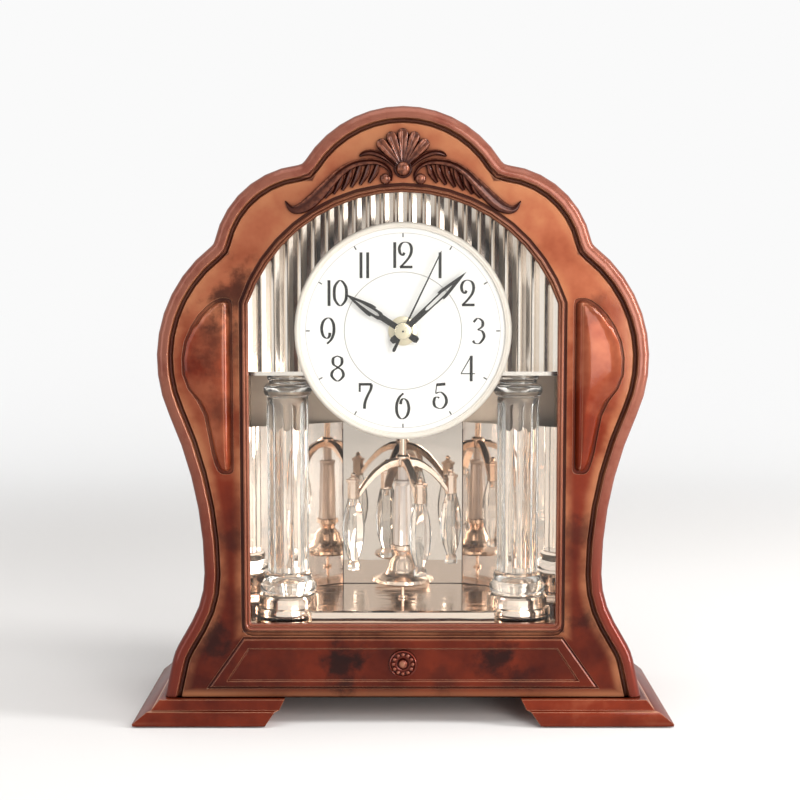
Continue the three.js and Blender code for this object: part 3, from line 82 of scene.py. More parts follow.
# Dark clouds of sprayed shade on the front: x, z, reach and depth
SMUDGES = [
    (-81.0, 215.0, 21.0, 0.75), (-90.0, 194.0, 23.0, 0.5), (61.0, 240.0, 7.0, 0.5),
    (-95.0, 42.0, 13.0, 0.8), (-31.0, 29.0, 17.0, 0.9), (-24.0, 38.0, 12.0, 0.7),
    (47.0, 33.0, 15.0, 0.9), (58.0, 24.0, 11.0, 0.7), (92.0, 55.0, 12.0, 0.7),
    (-92.0, 160.0, 9.0, 0.4), (-58.0, 30.0, 18.0, 0.3), (101.0, 160.0, 8.0, 0.4),
    (94.0, 210.0, 10.0, 0.4), (88.0, 100.0, 11.0, 0.5), (-86.0, 95.0, 11.0, 0.5),
    (20.0, 22.0, 11.0, 0.4),
]
# How far a cloud's edge wanders with the mottle, in shares of its reach
SMUDGE_WOBBLE = 3.0

# Depths over which the ornament is rubbed; depths and heights over which painted shade darkens
# the metal film, which also turns rougher with depth
RUBBED_Y = (-45.4, -47.6)
FILM_DEPTH_SHADE_Y, FILM_ARCH_SHADE_Z = (4.0, 30.0), (222.0, 246.0)

# What the finishes show, by size: clouds and mottle of the spray and its orange peel, marks of
# wiping, haze and sink marks of the film, patches of sheen, drift of tone, and grain
CLOUD_SIZE, MOTTLE_SIZE, PEEL_SIZE = 33.3, 10.0, 1.1
WIPE_SIZE, HAZE_SIZE, SINK_SIZE = 2.0, 5.0, 8.3
SHEEN_SIZE, DRIFT_SIZE, GRAIN_SIZE = 0.67, 20.0, 0.33

# MapRange takes a value, the two ends it runs between and the two that they turn into, and eases
# with SMOOTH. Mix takes a share and two values, which are colours with COLOUR.
SMOOTH = {"interpolation_type": "SMOOTHSTEP"}
COLOUR = {"data_type": "RGBA"}

# Raised ornament, from the crest ball's centre. A rib lists x, z, width and height, or for a petal
# its way out, width and height. PETALS lists turns in degrees and sizes, a boss lists radius and
# height, and a section lists shares of half the width and of the height.
SEAT_Y, CREST_Z = -44.3, 280.0
RIB_FOOT = 0.4
RIB_STEPS, BOSS_SIDES, BOSS_TIP = 6, 40, 0.02
PETAL = [
    (1, 1.8, 0.9), (6, 2.9, 2), (12, 4.7, 2.8), (16.3, 5.7, 2.9), (18.8, 4.4, 2.3), (19.7, 1, 1),
]
PETALS = [(0, 1), (20, 0.97), (-20, 0.97), (41, 0.94), (-41, 0.94)]
CREST_LEAF = [
    (3.4, 0.6, 1.4, 1.2), (7.2, 4.2, 2.2, 1.8), (11.2, 6.7, 2.9, 2), (15.2, 7.9, 3, 1.9),
    (18.4, 7.7, 2.6, 1.6), (20.5, 6.8, 1.8, 1.2), (21.4, 6, 0.5, 0.6),
]
ARM_LINE = [
    (5.8, -5.8, 0.8, 0.8), (5.8, -2.6, 1.5, 1.3), (8, 0.9, 2.4, 1.9), (12, 3, 3, 2.3),
    (17.5, 3.4, 3.4, 2.4), (24.5, 2, 3.8, 2.4), (31, -2, 4.6, 2.4), (38, -9, 5.8, 2.3),
    (45, -15.8, 6.4, 2), (50.5, -19.4, 5.2, 1.8), (55, -19.6, 3.4, 1.5), (58.2, -15.8, 0.5, 0.7),
]
CREST_BALL = [
    (4.6, 0), (4.6, 0.7), (4.3, 1.2), (3.8, 1.3), (3.45, 1.1), (3.4, 1.7), (3.1, 2.8),
    (2.4, 3.6), (1.3, 4.15), (0, 4.3),
]
VOLUTE = [(2.7, 0), (2.7, 1.1), (2.5, 1.8), (1.9, 2.5), (1, 2.9), (0, 3)]
VOLUTE_PLACE = (8.7, -5)
FROND_STARTS = (12.4, 16.8, 21.2, 25.6, 30, 34.2)
FROND_REACH = 4.4
FROND_LEAN = 0.3
FROND_SIZES = [(2.2, 1.4), (3.3, 1.8), (1.6, 1.0)]
FROND_FROM_FIELD = 0.3
INNERMOST_FROND_X = 10
HOLLOW = [
    (-1, 0), (-0.93, 0.6), (-0.75, 0.92), (-0.55, 0.97), (-0.3, 0.8), (0, 0.7), (0.3, 0.8),
    (0.55, 0.97), (0.75, 0.92), (0.93, 0.6), (1, 0),
]
RIMMED = [
    (-1, 0), (-0.94, 0.4), (-0.7, 0.75), (-0.3, 0.82), (0.05, 0.66), (0.3, 0.52), (0.45, 0.62),
    (0.6, 0.92), (0.74, 1), (0.88, 0.86), (0.97, 0.5), (1, 0),
]
BLADE = [(-1, 0), (-0.9, 0.7), (-0.6, 1), (-0.1, 0.8), (0.4, 0.5), (1, 0)]

# The dial: its axis and face, the section of the ring round it as radius and y, the marks at the
# hours, and the printed circles as radius and width
DIAL_Z, DIAL_FACE_Y = 199.5, -31.5
BEZEL_SIDES, CIRCLE_STEPS = 160, 180
BEZEL = [
    (51.8, -31.8), (52.0, -33.1), (52.2, -33.5), (52.8, -33.5), (52.9, -33.8), (53.4, -34.0),
    (54.1, -33.85), (54.7, -33.3), (55.0, -32.6), (55.0, -30.0), (52.8, -30.0), (52.8, -31.8),
]
MARK_INNER, MARK_OUTER, MARK_WIDTH = 47.2, 49.2, 0.6
CIRCLES = [(49.3, 0.22), (29.7, 0.45)]
HUB_DOT = (0.4, 0.6)
# Ink stands that far in front of the face, numerals over circles
NUMERAL_LIFT, CIRCLE_LIFT = 0.03, 0.02

# Numerals, with their centres on one circle. Each has its advance and strokes as weight, curved
# and points, in shares of the height. No weight means a flat nib's, thick where it runs upright.
NUMERAL_HEIGHT, NUMERAL_CIRCLE = 13.0, 38.2
THICK, THIN, NIB_TURN = 1.5, 0.42, 1.5
NUMERAL_STEPS = 8
GLYPHS = {
    "0": (0.6, [
        (None, True, [(0.04, 0.5), (0.08, 0.78), (0.28, 0.99), (0.48, 0.78), (0.52, 0.5),
                      (0.48, 0.22), (0.28, 0.01), (0.08, 0.22), (0.04, 0.5)])]),
    "1": (0.26, [(1.0, False, [(0.1, 1.0), (0.1, 0.0)])]),
    "2": (0.58, [
        (None, True, [(0.21, 0.6), (0.15, 0.49), (0.05, 0.58), (0.02, 0.77), (0.1, 0.94),
                      (0.25, 1.0), (0.42, 0.93), (0.49, 0.74), (0.44, 0.49), (0.26, 0.24),
                      (0.05, 0.03)]),
        (0.9, False, [(0.04, 0.04), (0.53, 0.04)])]),
    "3": (0.54, [
        (None, True, [(0.08, 0.84), (0.24, 0.99), (0.42, 0.88), (0.42, 0.68), (0.24, 0.54)]),
        (None, True, [(0.24, 0.54), (0.42, 0.48), (0.49, 0.26), (0.32, 0.02), (0.14, 0.02),
                      (0.06, 0.12)])]),
    "4": (0.6, [
        (0.35, False, [(0.42, 1.0), (0.02, 0.3)]),
        (0.35, False, [(0.02, 0.3), (0.57, 0.3)]),
        (1.0, False, [(0.42, 1.0), (0.42, 0.0)])]),
    "5": (0.56, [
        (0.4, False, [(0.13, 0.96), (0.09, 0.6)]),
        (1.0, False, [(0.12, 0.94), (0.47, 0.97)]),
        (None, True, [(0.09, 0.6), (0.29, 0.65), (0.47, 0.48), (0.51, 0.25), (0.4, 0.06),
                      (0.25, 0.01), (0.07, 0.09), (0.02, 0.26), (0.06, 0.42), (0.15, 0.46),
                      (0.23, 0.42)])]),
    "6": (0.56, [
        (None, True, [(0.3, 1.0), (0.14, 0.84), (0.04, 0.58), (0.04, 0.26), (0.14, 0.05),
                      (0.28, 0.0), (0.44, 0.13), (0.51, 0.4), (0.45, 0.68), (0.31, 0.79),
                      (0.21, 0.71), (0.19, 0.57)])]),
    "7": (0.54, [
        (0.9, False, [(0.01, 0.96), (0.52, 0.96)]),
        (0.7, False, [(0.05, 0.96), (0.05, 0.66)]),
        (None, True, [(0.51, 0.96), (0.48, 0.76), (0.36, 0.52), (0.26, 0.26), (0.23, 0.0)])]),
    "8": (0.58, [
        (None, True, [(0.28, 0.99), (0.12, 0.9), (0.12, 0.68), (0.28, 0.55), (0.46, 0.42),
                      (0.5, 0.2), (0.28, 0.01), (0.06, 0.2), (0.1, 0.4), (0.28, 0.53),
                      (0.44, 0.68), (0.44, 0.9), (0.28, 0.99)])]),
}

# Paper sweep in metres, with the distances in millimetres over which it turns plain white
SWEEP = {"half": 4.0, "front": -3.0, "back": 1.6, "bend": 0.8, "height": 4.0}
BEND_STEPS = 18
SWEEP_FADE = (450.0, 1400.0)

# Lamps in metres: name, place, size, the setting that powers it, its share of that, and colour
LAMP_AIM = (0.0, 0.0, 0.15)
LAMPS = [
    ("key", (0.5, -1.05, 0.45), (0.55, 0.8), "key", 1.0, (1.0, 0.985, 0.97)),
    ("right_strip", (1.1, -0.25, 0.4), (0.22, 1.1), "key", 1.9, (1, 1, 1)),
    ("left_strip", (-1.1, -0.5, 0.4), (0.35, 1.4), "fill", 1.0, (0.97, 0.98, 1.0)),
    ("top", (0.0, -0.2, 1.2), (1.0, 0.8), "fill", 1.3, (1, 1, 1)),
]


def linear(hex_colour):
    """sRGB hex text to linear RGBA."""
    parts = [int(hex_colour[i:i + 2], 16) / 255 for i in (1, 3, 5)]
    light = [c / 12.92 if c <= 0.04045 else ((c + 0.055) / 1.055) ** 2.4 for c in parts]
    return (*light, 1.0)


# Shader graphs

class Graph:
    """The node tree of a new material, or of a given world."""

    def __init__(self, name, world=None):
        self.owner = world or bpy.data.materials.new(name)
        self.owner.use_nodes = True
        self.tree = self.owner.node_tree
        self.tree.nodes.clear()
        self.output = self.add("OutputWorld" if world else "OutputMaterial")

    def add(self, kind, inputs=(), **settings):
        """Adds a node; its inputs, in order or by name, are values or what they link from."""
        node = self.tree.nodes.new("ShaderNode" + kind)
        for name, value in settings.items():
            setattr(node, name, value)
        in_use = [socket for socket in node.inputs if socket.enabled]
        if isinstance(inputs, dict):
            named = {socket.name: socket for socket in in_use}
            pairs = [(named[name], value) for name, value in inputs.items()]
        else:
            pairs = zip(in_use, inputs)
        for socket, value in pairs:
            if isinstance(value, bpy.types.Node):
                value = next(output for output in value.outputs if output.enabled)
            if isinstance(value, bpy.types.NodeSocket):
                self.tree.links.new(value, socket)
            else:
                socket.default_value = value
        return node

    def finish(self, shader):
        """Links the shader to the output and returns the material or world."""
        self.tree.links.new(shader.outputs[0], self.output.inputs["Surface"])
        return self.owner


def millimetres(g):
    """Place on the clock in millimetres, as one vector and as its X, Y and Z."""
    metres = g.add("TexCoord").outputs["Object"]
    place = g.add("VectorMath", (metres, 1 / MM), operation="SCALE")
    return place, g.add("SeparateXYZ", (place,)).outputs


def distance_to(g, x, z, centre_x, centre_z):
    """Millimetres from a point, seen from the front."""
    flat = g.add("CombineXYZ", (x, 0.0, z))
    return g.add("VectorMath", (flat, (centre_x, 0.0, centre_z)), operation="DISTANCE")


def inside_case(g, aside, z):
    """Millimetres in from the case outline, seen from the front."""
    lobes = [g.add("Math", (radius, distance_to(g, aside, z, x, centre_z)), operation="SUBTRACT")
             for x, centre_z, radius in LOBES]
    top = g.add("Math", lobes[:2], operation="MAXIMUM")
    top = g.add("Math", (top, lobes[2]), operation="MAXIMUM")
    # The waist's circle touches the lowest lobe, which gives its radius
    lobe_x, lobe_z, lobe_radius = LOBES[2]
    out, below = WAIST_X - lobe_x, WAIST_Z - lobe_z
    upper_radius = (out ** 2 + below ** 2 - lobe_radius ** 2) / (2 * (lobe_radius - out))
    lower, upper = [
        g.add("Math", (distance_to(g, aside, z, WAIST_X + radius, WAIST_Z), radius),
              operation="SUBTRACT")
        for radius in (LOWER_WAIST_RADIUS, upper_radius)]
    skirts = []
    for edge_x, edge_z, lean in SKIRTS:
        turn = math.radians(lean)
        across = g.add("Math", (edge_x, aside), operation="SUBTRACT")
        across = g.add("Math", (across, math.cos(turn)), operation="MULTIPLY")
        down = g.add("Math", (edge_z, z), operation="SUBTRACT")
        down = g.add("Math", (down, math.sin(turn)), operation="MULTIPLY")
        skirts.append(g.add("Math", (across, down), operation="ADD"))
    inside = g.add("Math", skirts, operation="MINIMUM")
    for level, part in zip(OUTLINE_STEPS, (lower, upper, top)):
        above = g.add("Math", (z, level), operation="GREATER_THAN")
        inside = g.add("Mix", (above, inside, part))
    return inside


def outside_window(g, aside, z):
    """Millimetres out from the window opening, seen from the front."""
    arch = g.add("Math", (distance_to(g, aside, z, 0, WINDOW["arch_z"]), WINDOW["radius"]),
                 operation="SUBTRACT")
    # The arch counts only above the height where it starts
    high = g.add("Math", (z, WINDOW["arch_z"]), operation="GREATER_THAN")
    arch = g.add("Mix", (high, FAR_INSIDE, arch))
    side = g.add("Math", (aside, WINDOW["half"]), operation="SUBTRACT")
    sill = g.add("Math", (WINDOW["bottom"], z), operation="SUBTRACT")
    outside = g.add("Math", (arch, side), operation="MAXIMUM")
    return g.add("Math", (outside, sill), operation="MAXIMUM")


def seen_or_mirrored(g):
    """1 for what the camera sees, straight or by way of metal and glass."""
    path = g.add("LightPath").outputs
    mirrored = g.add("Math", (path["Is Glossy Ray"], path["Is Transmission Ray"]),
                     operation="MAXIMUM")
    return g.add("Math", (path["Is Camera Ray"], mirrored), operation="MAXIMUM")


# Materials

def lighter_edges(g, settings, colour, cloud, aside, z, inset, beyond):
    """Lightens the edges of the field, and paints a highlight on a strip over the feet."""
    from_band = g.add("Math", (inset, FIELD_FROM_OUTLINE), operation="SUBTRACT")
    from_frame = g.add("Math", (beyond, FIELD_FROM_WINDOW), operation="SUBTRACT")
    edge = g.add("Math", (from_band, from_frame), operation="MINIMUM")
    rim = g.add("MapRange", (edge, 0.0, settings.spray_width / MM, 0.8, 0.0), **SMOOTH)
    broken = g.add("MapRange", (cloud, 0.35, 0.65, 0.2, 1.0), **SMOOTH)
    rim = g.add("Math", (rim, broken), operation="MULTIPLY")
    # Painted highlight: a lighter strip just over the feet, stronger towards the sides
    low = g.add("MapRange", (z, *STRIP_HIGHLIGHT_FADE, 0.9, 0.0), **SMOOTH)
    outer = g.add("MapRange", (aside, *STRIP_HIGHLIGHT_SIDES, 0.5, 1.0), **SMOOTH)
    strip = g.add("Math", (low, outer), operation="MULTIPLY")
    lighter = g.add("Math", (rim, strip), operation="MAXIMUM")
    return g.add("Mix", (lighter, colour, settings.amber[:]), **COLOUR)


def sprayed_clouds(g, settings, colour, mottle, x, z):
    """Sprays dark clouds whose edges wander with the mottle."""
    uneven = g.add("Math", (mottle, 0.5), operation="SUBTRACT")
    for centre_x, centre_z, reach, depth in SMUDGES:
        away = distance_to(g, x, z, centre_x, centre_z)
        wobble = g.add("Math", (uneven, reach * SMUDGE_WOBBLE), operation="MULTIPLY")
        away = g.add("Math", (away, wobble), operation="ADD")
        shade_here = g.add("MapRange", (away, 0.0, reach, depth, 0.0), **SMOOTH)
        colour = g.add("Mix", (shade_here, colour, settings.burl[:]), **COLOUR)
    return colour


def sprayed_mouldings(g, settings, colour, mottle, z, inset, beyond):
    """Band and frame tones, with painted sheen and shade; grooves dark, partly with painted shade.
    """
    # The band grows lighter upwards: partly its own tone, partly painted sheen from the light above
    rise = g.add("MapRange", (z, *BAND_TONE_AND_SHEEN_FADE), **SMOOTH)
    broken = g.add("MapRange", (mottle, 0.3, 0.6, 0.5, 1.0), **SMOOTH)
    rise = g.add("Math", (rise, broken), operation="MULTIPLY")
    band_tone_and_sheen = g.add("Mix", (rise, settings.plum[:], settings.chestnut[:]), **COLOUR)
    # Painted shade: the frame darkens under the arch, where its slope faces down
    painted_arch_shade = g.add("MapRange", (z, *FRAME_ARCH_SHADE_FADE), **SMOOTH)
    frame_tone_and_shade = g.add("Mix", (painted_arch_shade, band_tone_and_sheen, settings.walnut[:]), **COLOUR)
    on_frame = g.add("MapRange", (beyond, *FRAME_EDGE, 0.8, 0.0), **SMOOTH)
    colour = g.add("Mix", (on_frame, colour, frame_tone_and_shade), **COLOUR)
    on_band = g.add("MapRange", (inset, *BAND_EDGE, 1.0, 0.0), **SMOOTH)
    colour = g.add("Mix", (on_band, colour, band_tone_and_sheen), **COLOUR)
    # The grooves' dark line: partly the lacquer's own, partly painted shade
    grooves = []
    for distance, (start, end) in ((inset, BAND_GROOVE), (beyond, FRAME_GROOVE)):
        rising = g.add("MapRange", (distance, *start), **SMOOTH)
        falling = g.add("MapRange", (distance, *end, 1.0, 0.0), **SMOOTH)
        grooves.append(g.add("Math", (rising, falling), operation="MULTIPLY"))
    dark = g.add("Math", grooves, operation="MAXIMUM")
    dark = g.add("Math", (dark, 0.85), operation="MULTIPLY")
    return g.add("Mix", (dark, colour, settings.groove[:]), **COLOUR)


def airbrushed_copper_lacquer(name, settings, outlined=True, lift=0.0):
    """Red-brown base, lighter towards the crest, with clouds, painted shade and painted edge
    highlights.
    """
    # Pearl lacquer sprayed in layers on moulded styrene, under a thin clear coat. It gives the eye
    # a warm brown that drifts like burl wood and soft-edged dark clouds. The black-brown lines in
    # the grooves are partly its own and partly painted shade, and the bright line along each edge
    # is a painted highlight.
    g = Graph(name)
    place, at = millimetres(g)
    x, z = at["X"], at["Z"]
    cloud = g.add("TexNoise", {
        "Vector": place, "Scale": 1 / CLOUD_SIZE, "Detail": 4.0, "Roughness": 0.6})
    mottle = g.add("TexNoise", {
        "Vector": place, "Scale": 1 / MOTTLE_SIZE, "Detail": 6.0, "Roughness": 0.65})
    level = g.add("MapRange", (z, *TONE_FADE, lift, 0.5 + lift), **SMOOTH)
    tone = g.add("Math", (cloud, 0.8), operation="MULTIPLY")
    tone = g.add("Math", (tone, level), operation="ADD")
    colour = g.add("ValToRGB", (tone,))
    stops = [(0.32, settings.walnut), (0.6, settings.russet), (0.85, settings.copper),
             (1.0, settings.amber)]
    elements = colour.color_ramp.elements
    while len(elements) < len(stops):
        elements.new(0.5)
    for element, (position, lacquer) in zip(elements, stops):
        element.position = position
        element.color = lacquer[:]
    if outlined:
        aside = g.add("Math", (x,), operation="ABSOLUTE")
        inset = inside_case(g, aside, z)
        beyond = outside_window(g, aside, z)
        colour = lighter_edges(g, settings, colour, cloud, aside, z, inset, beyond)
    colour = sprayed_clouds(g, settings, colour, mottle, x, z)
    if outlined:
        colour = sprayed_mouldings(g, settings, colour, mottle, z, inset, beyond)
    # Painted shade: crevices darkened towards the groove colour by ambient occlusion
    crevice = g.add("AmbientOcclusion", {"Distance": 2.5 * MM}, samples=6).outputs["AO"]
    painted_crevice_shade = g.add("MapRange", (crevice, 0.25, 0.85, 0.7, 0.0), **SMOOTH)
    colour = g.add("Mix", (painted_crevice_shade, colour, settings.groove[:]), **COLOUR)
    # Painted highlight: a bright line on each open edge, where the rounded normal leaves the
    # facet's own
    rounded = g.add("Bevel", {"Radius": 0.5 * MM}, samples=4)
    facet = g.add("NewGeometry").outputs["True Normal"]
    turn = g.add("VectorMath", (rounded, facet), operation="DOT_PRODUCT")
    bright = g.add("MapRange", (turn, 0.88, 0.975, 0.75, 0.0), **SMOOTH)
    in_the_open = g.add("MapRange", (crevice, 0.6, 0.9), **SMOOTH)
    bright = g.add("Math", (bright, in_the_open), operation="MULTIPLY")
    colour = g.add("Mix", (bright, colour, settings.edges[:]), **COLOUR)
    # Orange peel of the sprayed coat, true size
    peel = g.add("TexNoise", {"Vector": place, "Scale": 1 / PEEL_SIZE, "Detail": 2.0})
    bump = g.add("Bump", {
        "Height": peel, "Strength": 0.05, "Distance": 0.4 * MM, "Normal": rounded})
    return g.finish(g.add("BsdfPrincipled", {
        "Base Color": colour, "Metallic": settings.pearl, "Roughness": settings.gloss,
        "Specular IOR Level": 0.0, "Normal": bump, "Coat Weight": settings.clear_coat,
        "Coat Roughness": 0.06, "Coat Normal": bump}))


def rubbed_lacquer(name, hollow, ridge, painted_shade_colour, rubbing=1.0):
    """Dark lacquer in the hollows, copper rubbed through on the high edges, painted shade deep
    down.
    """
    # Brushed on the moulded relief and wiped off while wet. It gives the eye warm copper along the
    # ridges, and nearly black lines between the ribs, deepened by painted shade.
    g = Graph(name)
    place, at = millimetres(g)
    height = g.add("MapRange", (at["Y"], *RUBBED_Y, 0.0, rubbing), **SMOOTH)
    wiped = g.add("TexNoise", {"Vector": place, "Scale": 1 / WIPE_SIZE, "Detail": 3.0})
    wiped = g.add("MapRange", (wiped, 0.35, 0.6, 0.3, 1.0), **SMOOTH)
    open_sky = g.add("AmbientOcclusion", {"Distance": 2.0 * MM}, samples=8).outputs["AO"]
    worn = g.add("MapRange", (open_sky, 0.6, 1.0), **SMOOTH)
    worn = g.add("Math", (worn, wiped), operation="MULTIPLY")
    worn = g.add("Math", (height, worn), operation="MULTIPLY")
    colour = g.add("Mix", (worn, hollow, ridge), **COLOUR)
    # Painted shade: the deepest hollows darkened by ambient occlusion
    painted_crevice_shade = g.add("MapRange", (open_sky, 0.35, 0.75, 0.8, 0.0), **SMOOTH)
    colour = g.add("Mix", (painted_crevice_shade, colour, painted_shade_colour), **COLOUR)
    return g.finish(g.add("BsdfPrincipled", {
        "Base Color": colour, "Metallic": 0.35, "Roughness": 0.24, "Specular IOR Level": 0.0,
        "Coat Weight": 0.4, "Coat Roughness": 0.06}))


def vacuum_metallised_plastic(name, tint, roughness, ripple=0.0, shaded=None):
    """Bright metal film; the shaded tint is painted shade at the back and under the arch."""
    # Aluminium evaporated onto moulded styrene, tinted by its lacquer. It gives the eye a mirror
    # softer than glass, with slow waves where the moulding sank. Painted shade makes it duller and
    # browner at the back and under the arch, and it turns rougher at the back.
    g = Graph(name)
    place, at = millimetres(g)
    haze = g.add("TexNoise", {"Vector": place, "Scale": 1 / HAZE_SIZE, "Detail": 3.0})
    haze = g.add("Math", (haze, roughness * 0.6), operation="MULTIPLY")
    soft = g.add("Math", (haze, roughness * 0.7), operation="ADD")
    film = tint
    if shaded:
        # Painted shade: darker and browner at the back and under the arch
        at_back = g.add("MapRange", (at["Y"], *FILM_DEPTH_SHADE_Y), **SMOOTH)
        under_arch = g.add("MapRange", (at["Z"], *FILM_ARCH_SHADE_Z, 0.0, 0.55), **SMOOTH)
        painted_depth_shade = g.add("Math", (at_back, under_arch), operation="MAXIMUM")
        film = g.add("Mix", (painted_depth_shade, tint, shaded), **COLOUR)
        dull = g.add("MapRange", (at["Y"], *FILM_DEPTH_SHADE_Y, 0.0, 0.25), **SMOOTH)
        soft = g.add("Math", (soft, dull), operation="ADD")
    inputs = {"Base Color": film, "Metallic": 1.0, "Roughness": soft}
    if ripple:
        long_way = g.add("VectorMath", (place, (0.3, 1.0, 1.0)), operation="MULTIPLY")
        sunk = g.add("TexNoise", {"Vector": long_way, "Scale": 1 / SINK_SIZE, "Detail": 1.0})
        inputs["Normal"] = g.add("Bump", {
            "Height": sunk, "Strength": ripple, "Distance": 2.0 * MM})
    return g.finish(g.add("BsdfPrincipled", inputs))


def moulded_crystal(name, tint, milk):
    """Clear styrene, a little milky: it bends light, and lets most of it straight through."""
    # Injection-moulded and unpolished. It gives the eye bright edges, dark lines where it bends
    # what stands behind, and a faint veil, which keeps it lighter than glass.
    g = Graph(name)
    clear = g.add("BsdfPrincipled", {
        "Base Color": tint, "Roughness": 0.02, "IOR": 1.45, "Transmission Weight": 1.0})
    plain = g.add("BsdfTransparent", {"Color": tint})
    path = g.add("LightPath").outputs
    share = g.add("Math", (path["Is Shadow Ray"], path["Is Diffuse Ray"]), operation="MAXIMUM")
    share = g.add("Math", (share, 0.8), operation="MULTIPLY")
    glass = g.add("MixShader", (share, clear, plain))
    glow = g.add("BsdfTranslucent", {"Color": tint})
    scatter = g.add("BsdfDiffuse", {"Color": tint})
    milky = g.add("MixShader", (0.5, glow, scatter))
    return g.finish(g.add("MixShader", (milk, glass, milky)))


def thin_clear_sheet(name):
    """Lens: a thin sheet that reflects a little and lets the rest through unbent."""
    # Extruded clear sheet. It gives the eye nothing when seen straight on, and a veil at a slant.
    g = Graph(name)
    share = g.add("Fresnel", {"IOR": 1.45})
    share = g.add("Math", (share, 0.55), operation="MULTIPLY")
    clear = g.add("BsdfTransparent", {"Color": linear("#fdfdfc")})
    gloss = g.add("BsdfGlossy", {"Color": linear("#ffffff"), "Roughness": 0.03})
    return g.finish(g.add("MixShader", (share, clear, gloss)))


def plain_surface(name, tint, roughness, metallic=0.0, coat=0.0, grain=0.0, mottle=0.06):
    """One colour with a slight drift of tone, uneven gloss and, with grain, a fine texture."""
    # Moulded, printed or plated in one colour. It gives the eye an even tone that isn't quite
    # flat, and a sheen that breaks up a little under the lamps.
    g = Graph(name)
    place = millimetres(g)[0]
    drift = g.add("TexNoise", {"Vector": place, "Scale": 1 / DRIFT_SIZE, "Detail": 3.0})
    drift = g.add("MapRange", (drift, 0.35, 0.65), **SMOOTH)
    deeper = tuple(channel * (1 - 2.5 * mottle) for channel in tint[:3]) + (1.0,)
    sheen = g.add("TexNoise", {"Vector": place, "Scale": 1 / SHEEN_SIZE, "Detail": 2.0})
    sheen = g.add("Math", (sheen, 0.08), operation="MULTIPLY")
    inputs = {
        "Base Color": g.add("Mix", (drift, tint, deeper), **COLOUR), "Metallic": metallic,
        "Roughness": g.add("Math", (sheen, roughness), operation="ADD"), "Coat Weight": coat}
    if grain:
        # The real grain is under 0.1 mm, too fine to show, so it is drawn at 0.33 mm
        eroded = g.add("TexNoise", {"Vector": place, "Scale": 1 / GRAIN_SIZE, "Detail": 2.0})
        inputs["Normal"] = g.add("Bump", {
            "Height": eroded, "Strength": grain, "Distance": 0.2 * MM})
    return g.finish(g.add("BsdfPrincipled", inputs))


def gilt_round_dark_hub(name, tint, hub):
    """Gilt cap with the end of the arbor in its middle."""
    # Turned brass, gilt, over a blackened steel pin. It gives the eye a pale gold disc with a
    # small dark dot.
    g = Graph(name)
    at = millimetres(g)[1]
    away = distance_to(g, at["X"], at["Z"], 0, DIAL_Z)
    dot = g.add("MapRange", (away, *HUB_DOT, 1.0, 0.0), **SMOOTH)
    return g.finish(g.add("BsdfPrincipled", {
        "Base Color": g.add("Mix", (dot, tint, hub), **COLOUR), "Roughness": 0.25,
        "Metallic": g.add("Math", (1.0, dot), operation="SUBTRACT")}))


def paper_sweep(name, near, far):
    """Matt paper that keeps the clock's shadow round it and turns plain white further out."""
    g = Graph(name)
    at = millimetres(g)[1]
    flat = g.add("CombineXYZ", (at["X"], at["Y"]))
    out = g.add("VectorMath", (flat,), operation="LENGTH")
    distant = g.add("MapRange", (out, *SWEEP_FADE), **SMOOTH)
    matt = g.add("BsdfDiffuse", {"Color": g.add("Mix", (distant, near, far), **COLOUR)})
    white = g.add("Emission", {"Color": far, "Strength": 1.0})
    share = g.add("Math", (distant, seen_or_mirrored(g)), operation="MULTIPLY")
    return g.finish(g.add("MixShader", (share, matt, white)))


def pale_surroundings(world, tint, strength):
    """Lights evenly at the given strength, and shows as plain paper."""
    g = Graph("", world)
    lit = g.add("Background", {"Color": linear("#fffefd"), "Strength": strength})
    paper = g.add("Background", {"Color": tint, "Strength": 1.0})
    g.finish(g.add("MixShader", (seen_or_mirrored(g), lit, paper)))


# Smooth shading

def smoothing(angle):
    """Node group that joins the facets' corners into smooth faces up to an angle in degrees."""
    name = f"smooth_{angle:.0f}"
    if name in bpy.data.node_groups:
        return bpy.data.node_groups[name]
    tree = bpy.data.node_groups.new(name, "GeometryNodeTree")
    for way in ("INPUT", "OUTPUT"):
        tree.interface.new_socket("Geometry", in_out=way, socket_type="NodeSocketGeometry")
    new, link = tree.nodes.new, tree.links.new
    start, end = new("NodeGroupInput"), new("NodeGroupOutput")
    merge, drop = new("GeometryNodeMergeByDistance"), new("GeometryNodeRemoveAttribute")
    merge.inputs["Distance"].default_value = 0.003 * MM
    drop.inputs["Name"].default_value = "custom_normal"
    faces, edges = new("GeometryNodeSetShadeSmooth"), new("GeometryNodeSetShadeSmooth")
    faces.domain, edges.domain = "FACE", "EDGE"
    edges.inputs["Shade Smooth"].default_value = False
    bend, sharp = new("GeometryNodeInputMeshEdgeAngle"), new("ShaderNodeMath")
    sharp.operation = "GREATER_THAN"
    sharp.inputs[1].default_value = math.radians(angle)
    link(bend.outputs[0], sharp.inputs[0])
    link(sharp.outputs[0], edges.inputs["Selection"])
    chain = [start, drop, merge, faces, edges, end]
    for before, after in zip(chain, chain[1:]):
        link(before.outputs[0], after.inputs[0])
    return tree


def shade(obj, angle):
    """Shades an object smooth up to an angle in degrees."""
    modifier = obj.modifiers.new("smoothing", "NODES")
    modifier.node_group = smoothing(angle)


def dress(material, names, smooth=30.0):
    """Gives nodes one material and shades them smooth up to an angle in degrees."""
    for name in names:
        obj = NODES[name]
        obj.data.materials.clear()
        obj.data.materials.append(material)
        shade(obj, smooth)


def nodes_named(start):
    return [name for name in NODES if name.startswith(start)]


# Pieces

